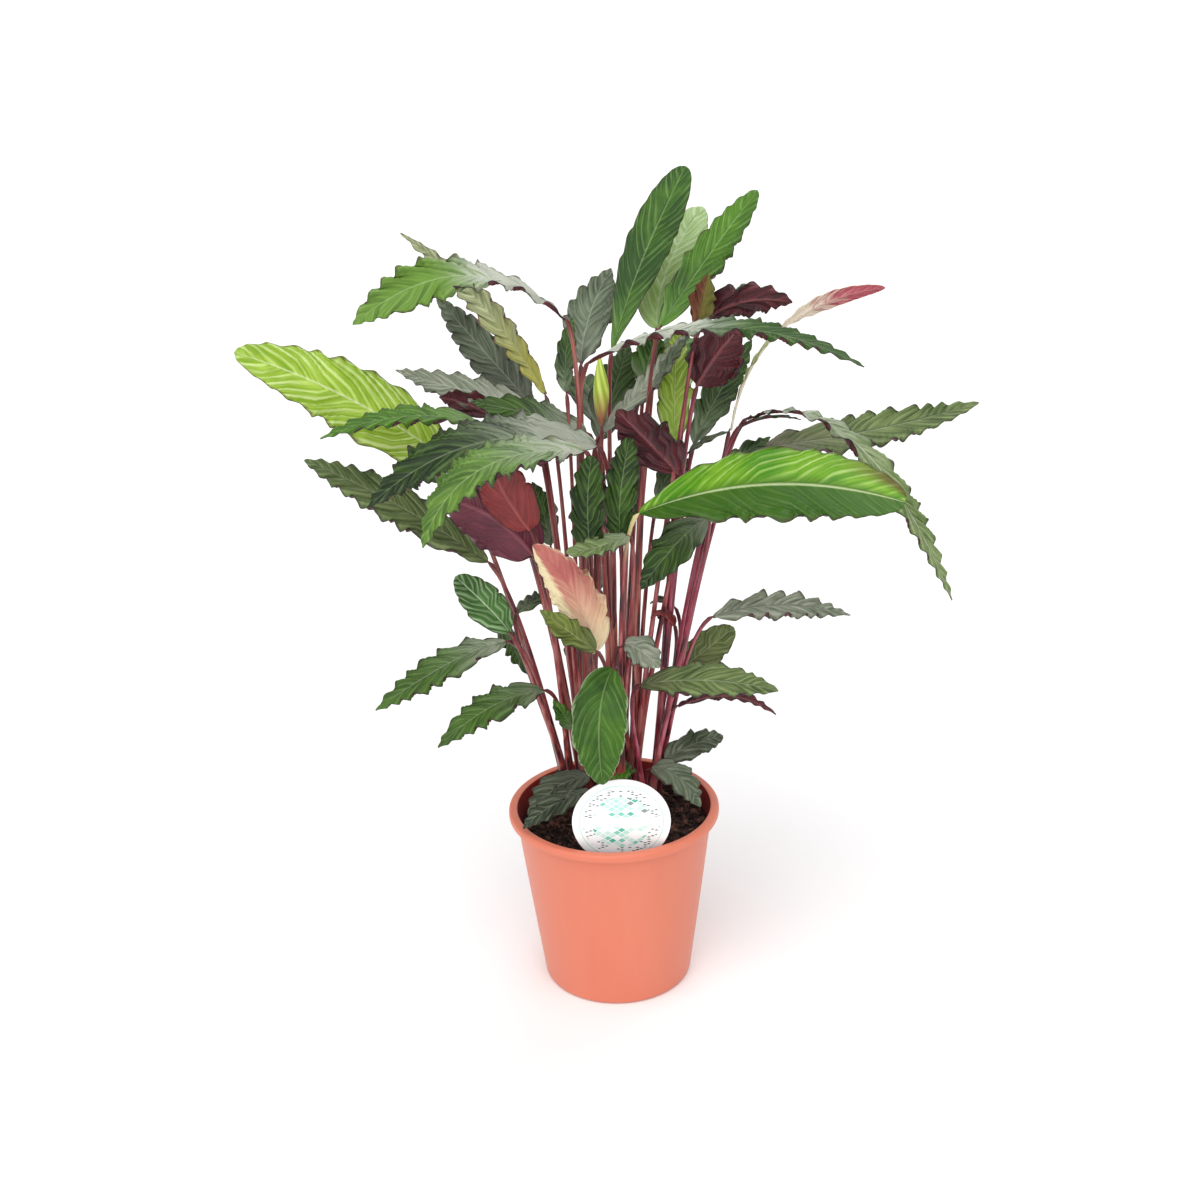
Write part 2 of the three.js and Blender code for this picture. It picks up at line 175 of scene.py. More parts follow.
# Each leaf: its shoot, the base, middle and tip of its midrib, its width, the way its upper
# side faces, and its colour
LEAVES = {
    "long_low_left": (
        "left", (-90, 5, 357), (-155, 15, 400), (-226, 30, 434), 36,
        (-0.2, -0.45, 1), "dark",
    ),
    "striped_left": (
        "left", (-75, -18, 308), (-92, 0, 322), (-117, 20, 340), 30,
        (-0.2, -0.9, 0.5), "green",
    ),
    "low_left": (
        "left", (-78, -16, 300), (-120, -30, 290), (-177, -47, 260), 28,
        (-0.2, -0.6, 1), "dark",
    ),
    "lowest_left": (
        "left", (-51, -24, 262), (-89, -50, 262), (-130, -68, 238), 28,
        (-0.2, -0.6, 1), "dark",
    ),
    "behind_left": (
        "left", (-76, 24, 300), (-80, 43, 280), (-66, 50, 242), 20,
        (-0.5, -0.8, 0.2), "dark",
    ),
    "lime_left": (
        "left", (-117, 8, 438), (-186, -5, 491), (-259, -20, 529), 58,
        (0.3, -0.8, 0.8), "lime",
    ),
    "curled_left": (
        "left_inner", (-61, 35, 474), (-109, 52, 480), (-154, 47, 497), 28,
        (0, -0.6, 1), "grey",
    ),
    "thin_left": (
        "left_inner", (-89, -18, 473), (-143, -40, 484), (-197, -62, 476), 22,
        (0, -0.35, 1), "dark",
    ),
    "maroon_left": (
        "left", (-54, -32, 374), (-82, -36, 406), (-120, -40, 424), 50,
        (-0.4, 0.9, 0.3), "dark",
    ),
    "upper_rear_left": (
        "left_inner", (-52, 40, 467), (-86, 88, 495), (-128, 126, 536), 30,
        (-0.3, -0.8, 0.6), "dark",
    ),
    "arching_left": (
        "centre_left", (-24, -28, 548), (-90, -62, 586), (-163, -95, 562), 33,
        (-0.1, -0.35, 1), "green",
    ),
    "arching_right": (
        "centre_left", (-9, -20, 515), (82, -70, 547), (172, -110, 527), 30,
        (0.08, -0.1, 1), "dark",
    ),
    "high_left": (
        "centre_left", (-42, 22, 481), (-88, 45, 546), (-145, 60, 596), 19,
        (-0.6, -0.5, 0.7), "olive",
    ),
    "upper_left": (
        "centre_left", (-12, 6, 456), (-50, 2, 471), (-96, 4, 482), 30,
        (-0.1, -0.6, 1), "dark",
    ),
    "inner_grey": (
        "centre_left", (-15, 35, 501), (-8, 75, 527), (10, 115, 556), 38,
        (-0.3, -0.9, 0.4), "grey",
    ),
    "front_left": (
        "centre_front", (-14, -46, 457), (-84, -108, 464), (-122, -146, 423), 40,
        (-0.3, -0.6, 1), "green",
    ),
    "big_left": (
        "centre_front", (-5, -23, 454), (-90, -52, 466), (-167, -74, 428), 46,
        (-0.2, -0.6, 1), "dark",
    ),
    "pink_front": (
        "centre_front", (-12, -40, 299), (-24, -52, 349), (-53, -50, 389), 37,
        (0.2, 1, 0.1), "pink",
    ),
    "hanging_front": (
        "centre_front", (2, -45, 288), (-9, -74, 262), (-8, -84, 211), 42,
        (0, -1, 0.3), "green",
    ),
    "olive_front": (
        "centre_front", (-10, -53, 306), (-28, -59, 323), (-50, -57, 341), 20,
        (0, -0.8, 0.6), "olive",
    ),
    "soil_left": (
        "centre_front", (-18, -6, 178), (-45, -20, 176), (-67, -34, 157), 28,
        (-0.2, -0.6, 1), "grey",
    ),
    "big_right": (
        "centre_front", (23, -44, 408), (110, -94, 443), (199, -130, 439), 52,
        (0, -0.9, 0.6), "lime",
    ),
    "inner_front": (
        "centre_left", (-8, 12, 366), (-7, 31, 396), (-7, 51, 427), 18,
        (-0.2, -1, 0.3), "dark",
    ),
    "inner_front_right": (
        "centre", (12, 8, 374), (17, 28, 401), (24, 50, 433), 24,
        (0.1, -1, 0.3), "dark",
    ),
    "inner_upper": (
        "centre_rear", (-2, 60, 434), (9, 92, 463), (23, 130, 492), 34,
        (-0.2, -0.9, 0.4), "dark",
    ),
    "maroon_centre": (
        "centre", (55, 0, 424), (34, -13, 451), (10, -24, 480), 40,
        (0.3, 1, 0.2), "dark",
    ),
    "yellow_centre": (
        "centre", (54, 32, 439), (55, 46, 475), (59, 66, 518), 28,
        (0.1, -1, 0.3), "lime",
    ),
    "top": ("centre_rear", (8, 30, 510), (31, 52, 569), (67, 85, 635), 36, (-0.4, -0.9, 0.3), "green"),
    "top_rear": (
        "centre_rear", (42, 48, 522), (53, 90, 559), (83, 140, 597), 46,
        (-0.2, -0.8, 0.6), "green",
    ),
    "top_right": (
        "centre", (43, 5, 533), (76, 22, 575), (116, 40, 622), 30,
        (-0.4, -0.8, 0.4), "green",
    ),
    "narrow_rear": (
        "centre_left", (-2, 8, 454), (33, 26, 485), (68, 55, 520), 16,
        (-0.4, -0.8, 0.5), "grey",
    ),
    "rear_high_left": (
        "centre_rear", (-2, 110, 432), (-13, 162, 453), (-34, 212, 446), 42,
        (0, 0.3, 1), "dark",
    ),
    "rear_high_right": (
        "centre_rear", (30, 120, 450), (70, 180, 480), (110, 225, 460), 44,
        (0.1, 0.3, 1), "green",
    ),
    "rear_low": (
        "centre_rear", (-6, 115, 290), (-15, 155, 292), (-20, 195, 262), 30,
        (0, 0.4, 1), "dark",
    ),
    "maroon_right": (
        "right", (69, -4, 491), (82, -18, 516), (97, -32, 538), 38,
        (0.5, 0.9, 0.3), "dark",
    ),
    "maroon_top_right": (
        "right", (75, 4, 538), (104, -6, 552), (136, -12, 551), 28,
        (0, 0.9, 0.5), "dark",
    ),
    "inner_right": (
        "right", (68, 24, 440), (86, 52, 465), (117, 86, 503), 26,
        (-0.3, -0.8, 0.5), "dark",
    ),
    "cream_right": (
        "right", (93, 6, 454), (126, -12, 530), (198, -30, 563), 14,
        (-0.7, -0.1, 0.6), "pink",
    ),
    "drooping_right": (
        "right", (108, 25, 458), (180, -25, 452), (246, -75, 346), 25,
        (0.5, -0.4, 0.8), "green",
    ),
    "far_right": ("right", (110, 32, 432), (206, 60, 435), (295, 85, 448), 36, (0, -0.5, 1), "dark"),
    "mid_right": ("right", (81, 12, 304), (134, 25, 306), (191, 35, 292), 24, (0, -0.5, 1), "green"),
    "rear_right": (
        "right", (98, 105, 364), (150, 140, 368), (200, 168, 342), 38,
        (0.2, 0.3, 1), "dark",
    ),
    "hanging_right": (
        "right_front", (75, 0, 389), (51, -20, 375), (24, -35, 346), 30,
        (-0.3, -1, 0.5), "dark",
    ),
    "small_right": (
        "right", (57, 50, 244), (77, 52, 258), (101, 58, 275), 30,
        (-0.2, -0.8, 0.5), "dark",
    ),
    "low_right": (
        "right_front", (23, -25, 265), (72, -55, 280), (122, -75, 279), 33,
        (0, -0.5, 1), "green",
    ),
    "lowest_right": (
        "right_front", (42, 8, 182), (62, 18, 190), (90, 30, 192), 24,
        (0, -0.6, 1), "grey",
    ),
    "soil_right": (
        "right_front", (30, 0, 180), (50, -14, 180), (68, -22, 156), 24,
        (0.1, -0.6, 1), "grey",
    ),
    "rear_left": (
        "left_inner", (-80, 100, 380), (-130, 130, 395), (-180, 150, 370), 38,
        (-0.2, 0.3, 1), "dark",
    ),
}

# The youngest leaves, too small for nodes of their own
YOUNG_LEAVES = {
    "dark_curl": ("left", (-70, 5, 315), (-56, 30, 315), (-40, 60, 310), 15, (0, -0.4, 1), "dark"),
    "grey_behind": (
        "centre_left", (-26, 10, 485), (-26, 25, 509), (-20, 40, 534), 15,
        (-0.3, -0.9, 0.4), "dark",
    ),
    "grey_middle": (
        "centre_front", (11, -25, 298), (23, -32, 296), (37, -38, 284), 24,
        (0, -0.8, 0.6), "grey",
    ),
    "pointed_right": ("right", (92, 10, 428), (108, 20, 434), (126, 30, 441), 14, (0, -0.5, 1), "dark"),
    "crimson_curl": ("right", (51, 20, 295), (41, 8, 309), (32, 0, 309), 14, (0.2, 0.9, 0.5), "dark"),
    "soil_left_low": (
        "centre_front", (-19, -20, 173), (-48, -38, 170), (-71, -48, 156), 22,
        (-0.2, -0.7, 0.9), "grey",
    ),
    "behind_label": (
        "right_front", (12, 0, 186), (6, -10, 186), (-1, -20, 181), 24,
        (0, -0.7, 0.7), "green",
    ),
    "beside_hanging": (
        "centre_front", (-29, -10, 221), (-38, -20, 241), (-44, -25, 254), 14,
        (-0.2, -0.9, 0.3), "green",
    ),
    "edge_on": ("centre", (36, -5, 490), (50, -15, 514), (63, -25, 534), 12, (-0.8, -0.5, 0.5), "grey"),
    "olive_small": (
        "centre", (69, -8, 534), (73, -8, 553), (77, -8, 572), 19,
        (-0.3, -0.9, 0.3), "olive",
    ),
    "over_pink": (
        "centre_front", (15, -40, 391), (-5, -60, 390), (-29, -75, 391), 18,
        (-0.1, -0.6, 0.8), "grey",
    ),
    "thin_line": ("right", (103, 20, 454), (124, 15, 461), (146, 8, 460), 10, (0, 0.2, 1), "dark"),
    "green_patch": (
        "centre_rear", (33, 60, 480), (38, 75, 496), (44, 88, 510), 26,
        (-0.2, -0.9, 0.4), "green",
    ),
    "fringe": (
        "left_inner", (-84, 42, 462), (-103, 40, 472), (-122, 36, 478), 22,
        (0, 0.9, 0.3), "dark",
    ),
    "behind_stems": (
        "left_inner", (-44, 60, 349), (-49, 72, 372), (-57, 82, 395), 22,
        (-0.2, -0.9, 0.4), "dark",
    ),
    "red_under": (
        "left", (-55, -40, 397), (-72, -48, 429), (-81, -50, 459), 40,
        (0.2, 0.95, 0.1), "dark",
    ),
    "inner_deep": (
        "centre_left", (-12, -46, 381), (-13, -52, 418), (-9, -46, 453), 25,
        (-0.2, -1, 0.3), "dark",
    ),
    "inner_deep_right": (
        "centre", (10, -36, 386), (11, -38, 421), (19, -16, 457), 23,
        (0.1, -1, 0.3), "dark",
    ),
    "low_pink": (
        "right_front", (53, 10, 230), (93, 0, 242), (128, -10, 229), 12,
        (0, 0.9, 0.5), "dark",
    ),
    "grey_curl": ("right", (52, 30, 306), (43, 35, 310), (33, 40, 305), 7, (0, -0.4, 1), "grey"),
    "deep_right": (
        "centre", (40, 20, 398), (48, 24, 410), (64, 30, 426), 20,
        (-0.2, -0.8, 0.6), "dark",
    ),
    "grey_line": ("centre", (62, 8, 437), (75, 2, 448), (92, -4, 456), 7, (0, -0.5, 1), "grey"),
    "low_shade": (
        "left_inner", (-20, 35, 222), (-25, 48, 255), (-30, 60, 297), 20,
        (-0.2, -1, 0.2), "dark",
    ),
}

# A leaf that hasn't unrolled yet
ROLLED_LEAF = ("centre_left", (-1, 5, 460), (-1, 12, 484), (-1, 22, 510), 11, (0, -1, 0), "lime")

# What sets a leaf apart. In its shape, wave is the height of its margin's folds, blunt is
# smaller for a rounder tip, curl is how far its margins bend down, twist turns its tip, in
# degrees, widest is larger where its widest part lies nearer the tip, slim is larger for a
# longer thin base, scallop is how far the folds notch its margin, frill is the share of small
# folds, and calm is lower where one half lies flatter. In its colour, tone is lighter above
# 0.5, veined is how clear its streaks are, frost is the grey velvet sheen painted at its
# base and rib is how pale its midrib is
LEAF_SHAPES = {
    "top": {
        "wave": 1.3, "blunt": 0.45, "widest": 1.4, "tone": 0.3, "base_sheen": 0.1,
        "veined": 0.5, "rib": 0.25,
    },
    "top_rear": {"wave": 2.0, "blunt": 0.55},
    "top_right": {"wave": 3.0, "blunt": 0.5, "tone": 0.6, "base_sheen": 0.1, "rib": 0.3, "veined": 0.55},
    "lime_left": {
        "wave": 2.8, "frill": 0.1, "blunt": 0.5, "widest": 0.75, "base_sheen": 0, "rib": 0.4,
        "veined": 1.0,
    },
    "striped_left": {"wave": 1.8, "blunt": 0.5, "tone": 0.65, "rib": 1, "veined": 1.2, "base_sheen": 0},
    "hanging_front": {
        "wave": 2.4, "blunt": 0.6, "tone": 0.4, "base_sheen": 0, "rib": 0.25, "veined": 0.3,
        "frill": 0.5,
    },
    "maroon_left": {"wave": 2.6, "blunt": 0.65, "slim": 0.4, "veined": 0.5},
    "red_under": {"wave": 2.2, "blunt": 0.6, "slim": 0.4, "veined": 0.5},
    "maroon_right": {"wave": 4.5, "blunt": 0.7},
    "maroon_centre": {"wave": 4.2, "blunt": 0.7},
    "maroon_top_right": {"wave": 4.5, "blunt": 0.7},
    "small_right": {"wave": 1.8, "blunt": 0.5, "tone": 0.75, "veined": 1.3},
    "pink_front": {"wave": 3.0, "blunt": 0.6, "base_sheen": 0, "veined": 0.4, "frill": 0.5},
    "big_right": {
        "wave": 4.2, "blunt": 0.45, "widest": 1.2, "scallop": 0.6, "frill": 0,
        "calm": 0.45, "base_sheen": 0, "rib": 0.5, "veined": 0.8,
    },
    "arching_left": {
        "blunt": 0.75, "twist": 50, "widest": 1.3, "base_sheen": 8, "tone": 1.0, "slim": 1.0,
        "scallop": 0.9, "wave": 4.2,
    },
    "arching_right": {"widest": 1.2, "base_sheen": 5.5, "tone": -0.2},
    "big_left": {"wave": 4.8, "base_sheen": 2.2, "tone": 0.3, "frill": 0.6},
    "front_left": {"wave": 4.8, "tone": 0.72, "base_sheen": 1.2, "frill": 0.6},
    "upper_left": {"base_sheen": 1.2},
    "upper_rear_left": {"wave": 4.8, "tone": 0.72},
    "high_left": {"wave": 4.2, "twist": 40, "base_sheen": 1.6},
    "long_low_left": {"blunt": 0.65, "tone": 0.65, "base_sheen": 0.1, "wave": 4.4},
    "far_right": {"wave": 4.2, "blunt": 0.7, "slim": 0.9, "tone": 0.55, "base_sheen": 1.4},
    "drooping_right": {"widest": 1.3, "slim": 1.4, "base_sheen": 1.6, "rib": 1, "tone": 0.6},
    "cream_right": {"wave": 1.2, "blunt": 0.5, "twist": 95, "widest": 1.7, "slim": 0.75},
    "lowest_right": {"blunt": 0.55, "tone": 0.45, "veined": 1.6},
    "low_right": {"blunt": 0.7, "tone": 0.52, "veined": 1.3},
    "thin_left": {"tone": 0.8},
    "low_left": {"tone": 1.0, "veined": 1.3, "base_sheen": 0.9, "rib": 0.6, "scallop": 0.9},
    "lowest_left": {"tone": 0.85, "scallop": 0.7, "base_sheen": 0.5},
    "mid_right": {"tone": 0.45, "veined": 1.2, "base_sheen": 0.1, "wave": 4.2},
    "soil_left": {"veined": 1.6, "tone": 0.68},
    "soil_right": {"veined": 1.6, "tone": 0.75},
    "soil_left_low": {"veined": 1.6},
    "over_pink": {"tone": 0.7, "blunt": 0.5, "slim": 0.4},
    "inner_deep": {"veined": 1.2, "base_sheen": 0, "blunt": 0.4, "slim": 0.4, "wave": 4.2},
    "inner_deep_right": {"veined": 1.2, "base_sheen": 0, "blunt": 0.45, "slim": 0.4, "wave": 4.2},
}
PLAIN_SHAPE = {
    "wave": 3.6,
    "blunt": 0.8,
    "curl": 0.12,
    "twist": 0,
    "widest": 0.9,
    "slim": 0.62,
    "scallop": 0.5,
    "frill": 0.14,
    "calm": 1,
    "tone": 0.5,
    "veined": 1,
    "base_sheen": 0.45,
    "rib": 0.35,
}

# The upper sides of leaves: the colour between their streaks, of the streaks, of the midrib and
# of the painted highlights on the crests of folds, of the margin, and of the sheen painted at the base
UPPER_SIDES = {
    "dark": ("#14290a", "#486a20", "#98a884", "#3a3226", "#9ca292"),
    "green": ("#20440a", "#5c8e20", "#b4c890", "#4a4a30", "#8e9682"),
    "lime": ("#7ca020", "#b4d450", "#eef6cc", "#5a5428", "#98c44e"),
    "olive": ("#3e4c1c", "#7c8a3c", "#b4bc80", "#4a3c30", "#74785a"),
    "grey": ("#38442e", "#76826a", "#aab49c", "#48443a", "#949a8c"),
    "ash": ("#26301f", "#5c6650", "#9ca492", "#3a342e", "#787c72"),
    "sage": ("#3c5024", "#7a8c54", "#c0c8a4", "#3a342c", "#6c6a58"),
    # Green, with a strong painted sheen at its base
    "sheen_green": ("#2a4c12", "#688e34", "#b4c890", "#4a4a30", "#b8bcae"),
    "striped": ("#1c4010", "#4e7c34", "#b4c8a4", "#4a4a30", "#8e9682"),
    "pale": ("#7c9c4c", "#b0c898", "#c8d8b8", "#6a6c4c", "#84a848"),
    "silver": ("#646e58", "#a4aa96", "#d0d4c8", "#5a5048", "#a0a298"),
    "young": ("#8a9a58", "#c8cc98", "#d8d8a8", "#ecdcbb", "#d0c8a0"),
    "autumn": ("#4a1d14", "#764428", "#a07850", "#3c1c18", "#5c4428"),
    "fading": ("#727c50", "#b8be98", "#ccd0b0", "#6c382c", "#a4a04c"),
    "drooping": ("#48602c", "#8c9e68", "#ccd2b8", "#3a342c", "#b0b8a8"),
    "hanging": ("#20440a", "#5c8e20", "#b4c890", "#a4b48c", "#8e9682"),
    "bright": ("#44800c", "#86b424", "#e8f4c0", "#4a4c28", "#6a8a40"),
}
# How some of them differ from the rest
UPPER_TRAITS = {
    # highlight_share and highlight_from set the painted highlights on the crests of folds
    "lime": {"rough": 0.34, "highlight_share": 0.35, "highlight_from": 0.7},
    "striped": {"highlight_share": 0.5, "highlight_from": 0.5},
    # shade_or_tint_half: an olive tint on one half for autumn, and painted shade on one half for bright
    "autumn": {"shade_or_tint_half": "#66682a"},
    "bright": {"rough": 0.34, "highlight_share": 0.35, "shade_or_tint_half": "#2c5212"},
}

# Their undersides: the colour between the streaks, of the streaks, the midrib and the margin
UNDERSIDES = {
    "maroon": ("#2e0c14", "#6c262e", "#945458", "#1c0c10"),
    "red": ("#601418", "#a83c38", "#b4605a", "#52202a"),
    "purple": ("#4c1626", "#7c3446", "#96525c", "#381420"),
    "young": ("#a84c4c", "#d08a78", "#b85c5a", "#ecdcb0"),
    "tip": ("#8c3040", "#b85c64", "#c47c80", "#e0d8c0"),
}
UNDER_TRAITS = {
    "young": {"cream_from": 0.55, "one_sided": 0.25, "cream_base": (0.0, 0.6)},
    "tip": {"cream_base": (0.6, 0.75)},
}

# The leaves whose upper side isn't the one named in their row, and the ones that aren't maroon
# beneath
OWN_UPPERS = {
    "big_right": "bright",
    "far_right": "sage",
    "long_low_left": "sage",
    "low_right": "sage",
    "small_right": "sage",
    "drooping_right": "drooping",
    "over_pink": "drooping",
    "hanging_front": "hanging",
    "thin_left": "green",
    "high_left": "fading",
    "olive_small": "autumn",
    "arching_left": "sheen_green",
    "arching_right": "sheen_green",
    "front_left": "sheen_green",
    "top_rear": "pale",
    "striped_left": "striped",
    "mid_right": "silver",
    "narrow_rear": "silver",
    "curled_left": "silver",
    "grey_middle": "silver",
    "upper_rear_left": "ash",
    "soil_left": "ash",
    "soil_left_low": "ash",
    "pink_front": "young",
    "cream_right": "young",
}
OWN_UNDERS = {
    "maroon_left": "purple",
    "crimson_curl": "red",
    "red_under": "red",
    "pink_front": "young",
    "cream_right": "tip",
}

# The slot in the part's record for each colour in a leaf's row
SLOTS = {
    "dark": "leaf_dark_green",
    "green": "leaf_mid_green",
    "lime": "leaf_lime_green",
    "olive": "leaf_olive_green",
    "grey": "leaf_grey_green",
    "pink": "leaf_pink",
}


def scale_of(size):
    """The noise scale that gives a pattern a real size in millimetres."""
    return 1 / (size * MM)


def linear(hex_colour):
    """An sRGB hex colour as linear red, green, blue and alpha."""
    parts = [int(hex_colour[place : place + 2], 16) / 255 for place in (1, 3, 5)]
    parts = [part / 12.92 if part <= 0.04045 else ((part + 0.055) / 1.055) ** 2.4 for part in parts]
    return (*parts, 1)


# A mix node's settings where it blends two colours, in its inputs 6 and 7
MIX_COLOURS = {"out": 2, "data_type": "RGBA"}


def add(tree, kind, inputs, out=0, **settings):
    """Adds a node with its settings, sets or links its inputs, and returns one output."""
    made = tree.nodes.new(kind)
    for key, value in settings.items():
        setattr(made, key, value)
    for key, value in inputs.items():
        if isinstance(value, bpy.types.NodeSocket):
            tree.links.new(value, made.inputs[key])
        else:
            made.inputs[key].default_value = value
    return made.outputs[out]


def new_finish(name, **constants):
    """A new material, its nodes and its shader, with constant values on the shader's sockets."""
    made = bpy.data.materials.new(name)
    made.use_nodes = True
    shader = made.node_tree.nodes["Principled BSDF"]
    for socket, value in constants.items():
        shader.inputs[socket.replace("_", " ")].default_value = value
    return made, made.node_tree, shader


def leaf_pattern(tree, ridge):
    """How far each point lies along its leaf, across it and out from the midrib, its place on
    the folds and on the small veins, how light it is in streaks along those veins, with
    painted shade that darkens the pleats' valleys and lightens their crests, and the normal
    of its veined and hairy surface."""
    along, across, fold, veined = (
        add(tree, "ShaderNodeAttribute", {}, out="Fac", attribute_name=key)
        for key in ("along", "across", "fold", "veined")
    )
    place = add(tree, "ShaderNodeTexCoord", {}, out="Object")
    reach = add(tree, "ShaderNodeMath", {0: across}, operation="ABSOLUTE")
    half = add(tree, "ShaderNodeMath", {0: across}, operation="SIGN")

    # Streaks that run out along the side veins, different on the two halves
    vein = add(tree, "ShaderNodeCombineXYZ", {0: fold, 1: reach, 2: half})
    vein = add(tree, "ShaderNodeVectorMath", {0: vein, 1: (3.4, 1.1, 5)}, operation="MULTIPLY")
    streak = add(
        tree, "ShaderNodeTexNoise", {"Vector": vein, "Scale": 1.0, "Detail": 3, "Roughness": 0.6}
    )
    streak = add(tree, "ShaderNodeMapRange", {0: streak, 1: 0.34, 2: 0.66, 3: 0.0, 4: 1.0})

    # A band on each fold, in step with the pleats, and a line on each small vein
    turn = add(tree, "ShaderNodeMath", {0: fold, 1: math.tau}, operation="MULTIPLY")
    band = add(tree, "ShaderNodeMath", {0: turn, 1: 2, 2: 0.8}, operation="MULTIPLY_ADD")
    band = add(tree, "ShaderNodeMath", {0: band}, operation="SINE")
    lines = add(tree, "ShaderNodeMath", {0: turn, 1: RIBS_A_FOLD, 2: streak}, operation="MULTIPLY_ADD")
    lines = add(tree, "ShaderNodeMath", {0: lines}, operation="SINE")

    # How light each point is: by its streak, by its band, a painted shade that darkens the pleats'
    # valleys and lightens their crests, by its line, and by soft blotches
    patch = {"Vector": place, "Scale": scale_of(BLOTCH_SIZE), "Detail": 4}
    patch = add(tree, "ShaderNodeTexNoise", patch)
    patch = add(tree, "ShaderNodeMapRange", {0: patch, 1: 0.3, 2: 0.7, 3: 0.1, 4: 0.7})
    mark = -0.3
    for part, share in ((streak, 0.6), (band, 0.18), (lines, 0.08)):
        mark = add(tree, "ShaderNodeMath", {0: part, 1: share, 2: mark}, operation="MULTIPLY_ADD")
    light = add(tree, "ShaderNodeMath", {0: mark, 1: veined, 2: patch}, operation="MULTIPLY_ADD")
    light = add(tree, "ShaderNodeClamp", {0: light})

    # The surface's height: the nap of hairs, and the ridges of the small veins
    nap = add(tree, "ShaderNodeTexNoise", {"Vector": place, "Scale": scale_of(NAP_GRAIN), "Detail": 2})
    height = add(tree, "ShaderNodeMath", {0: nap, 1: 0.12, 2: 0.0}, operation="MULTIPLY_ADD")
    height = add(tree, "ShaderNodeMath", {0: lines, 1: ridge, 2: height}, operation="MULTIPLY_ADD")
    normal = add(tree, "ShaderNodeBump", {"Strength": 1.0, "Distance": MM, "Height": height})
    return along, across, reach, band, lines, streak, light, normal


def leaf_upper(
    name,
    deep,
    bright,
    rib,
    margin,
    sheen_colour,
    rough=0.5,
    highlight_share=0.16,
    highlight_from=1.1,
    shade_or_tint_half=None,
):
    """Living leaf, upper side, grown with a nap of short hairs: a pale velvet sheen at grazing
    angles, feathered streaks along the veins, a grey velvet sheen painted on at the base and
    fading out from it, and a pale midrib. Folds have painted highlights on their crests, as
    clear as highlight_share says, which are broader where highlight_from is lower. A blade with a
    shade_or_tint_half has that colour on one half, painted shade on the bright finish and an olive
    tint on the autumn one, and the other half is brown near the tip. The nap is drawn at a
    1 mm grain, because real hairs are finer than a render shows."""
    made, tree, shader = new_finish(
        name,
        Roughness=rough,
        Sheen_Weight=0.12,
        Sheen_Roughness=0.35,
        Sheen_Tint=linear("#e4ebe0"),
        Specular_IOR_Level=0.3,
    )
    along, across, reach, band, lines, streak, light, normal = leaf_pattern(tree, 0.14)
    tone, base_sheen, pale_rib = (
        add(tree, "ShaderNodeAttribute", {}, out="Fac", attribute_name=key)
        for key in ("tone", "base_sheen", "rib")
    )
    tone = add(tree, "ShaderNodeMath", {0: tone, 1: 0.5}, operation="SUBTRACT")
    light = add(tree, "ShaderNodeMath", {0: light, 1: tone}, operation="ADD")
    light = add(tree, "ShaderNodeClamp", {0: light})
    colour = add(tree, "ShaderNodeMix", {0: light, 6: linear(deep), 7: linear(bright)}, **MIX_COLOURS)

    # Painted highlights on the crests of folds, clearer away from the midrib
    crest_highlight = add(tree, "ShaderNodeMath", {0: streak, 1: 1.5, 2: band}, operation="MULTIPLY_ADD")
    crest_highlight = add(
        tree,
        "ShaderNodeMapRange",
        {0: crest_highlight, 1: highlight_from, 2: highlight_from + 1.3, 3: 0.0, 4: highlight_share},
    )
    outer = add(tree, "ShaderNodeMapRange", {0: reach, 1: 0.1, 2: 0.6, 3: 0.3, 4: 1.0})
    crest_highlight = add(tree, "ShaderNodeMath", {0: crest_highlight, 1: outer}, operation="MULTIPLY")
    layers = [(crest_highlight, rib)]

    # One half of the blade in another colour: painted shade on the bright finish, an olive tint on the
    # autumn one
    if shade_or_tint_half:
        half = add(tree, "ShaderNodeMapRange", {0: across, 1: -0.1, 2: 0.3, 3: 0.85, 4: 0.0})
        brown = add(tree, "ShaderNodeMapRange", {0: along, 1: 0.74, 2: 0.92, 3: 0.0, 4: 0.85})
        far = add(tree, "ShaderNodeMapRange", {0: across, 1: 0.35, 2: 0.75, 3: 0.0, 4: 1.0})
        brown = add(tree, "ShaderNodeMath", {0: brown, 1: far}, operation="MULTIPLY")
        layers += [(half, shade_or_tint_half), (brown, "#5a4418")]

    # Painted grey sheen at the base, thicker on the streaks
    base = add(tree, "ShaderNodeMapRange", {0: along, 1: 0.1, 2: 0.65, 3: 1.0, 4: 0.0})
    base = add(tree, "ShaderNodeMath", {0: base, 1: 2.0}, operation="POWER")
    base = add(tree, "ShaderNodeMath", {0: base, 1: base_sheen}, operation="MULTIPLY")
    sheen_streaks = add(tree, "ShaderNodeMapRange", {0: streak, 1: 0.1, 2: 0.7, 3: 0.2, 4: 1.0})
    base = add(tree, "ShaderNodeMath", {0: base, 1: sheen_streaks}, operation="MULTIPLY")

    # The midrib, and a margin with small teeth where the veins end
    midrib = add(tree, "ShaderNodeMapRange", {0: reach, 1: 0.012, 2: 0.05, 3: 1.0, 4: 0.0})
    midrib = add(tree, "ShaderNodeMath", {0: midrib, 1: pale_rib}, operation="MULTIPLY")
    teeth = add(tree, "ShaderNodeMath", {0: lines, 1: 0.02, 2: reach}, operation="MULTIPLY_ADD")
    edge = add(tree, "ShaderNodeMapRange", {0: teeth, 1: 0.93, 2: 0.98, 3: 0.0, 4: 0.8})

    layers += [(base, sheen_colour), (midrib, rib), (edge, margin)]
    for share, laid in layers:
        colour = add(tree, "ShaderNodeMix", {0: share, 6: colour, 7: linear(laid)}, **MIX_COLOURS)
    tree.links.new(colour, shader.inputs["Base Color"])
    tree.links.new(normal, shader.inputs["Normal"])
    return made


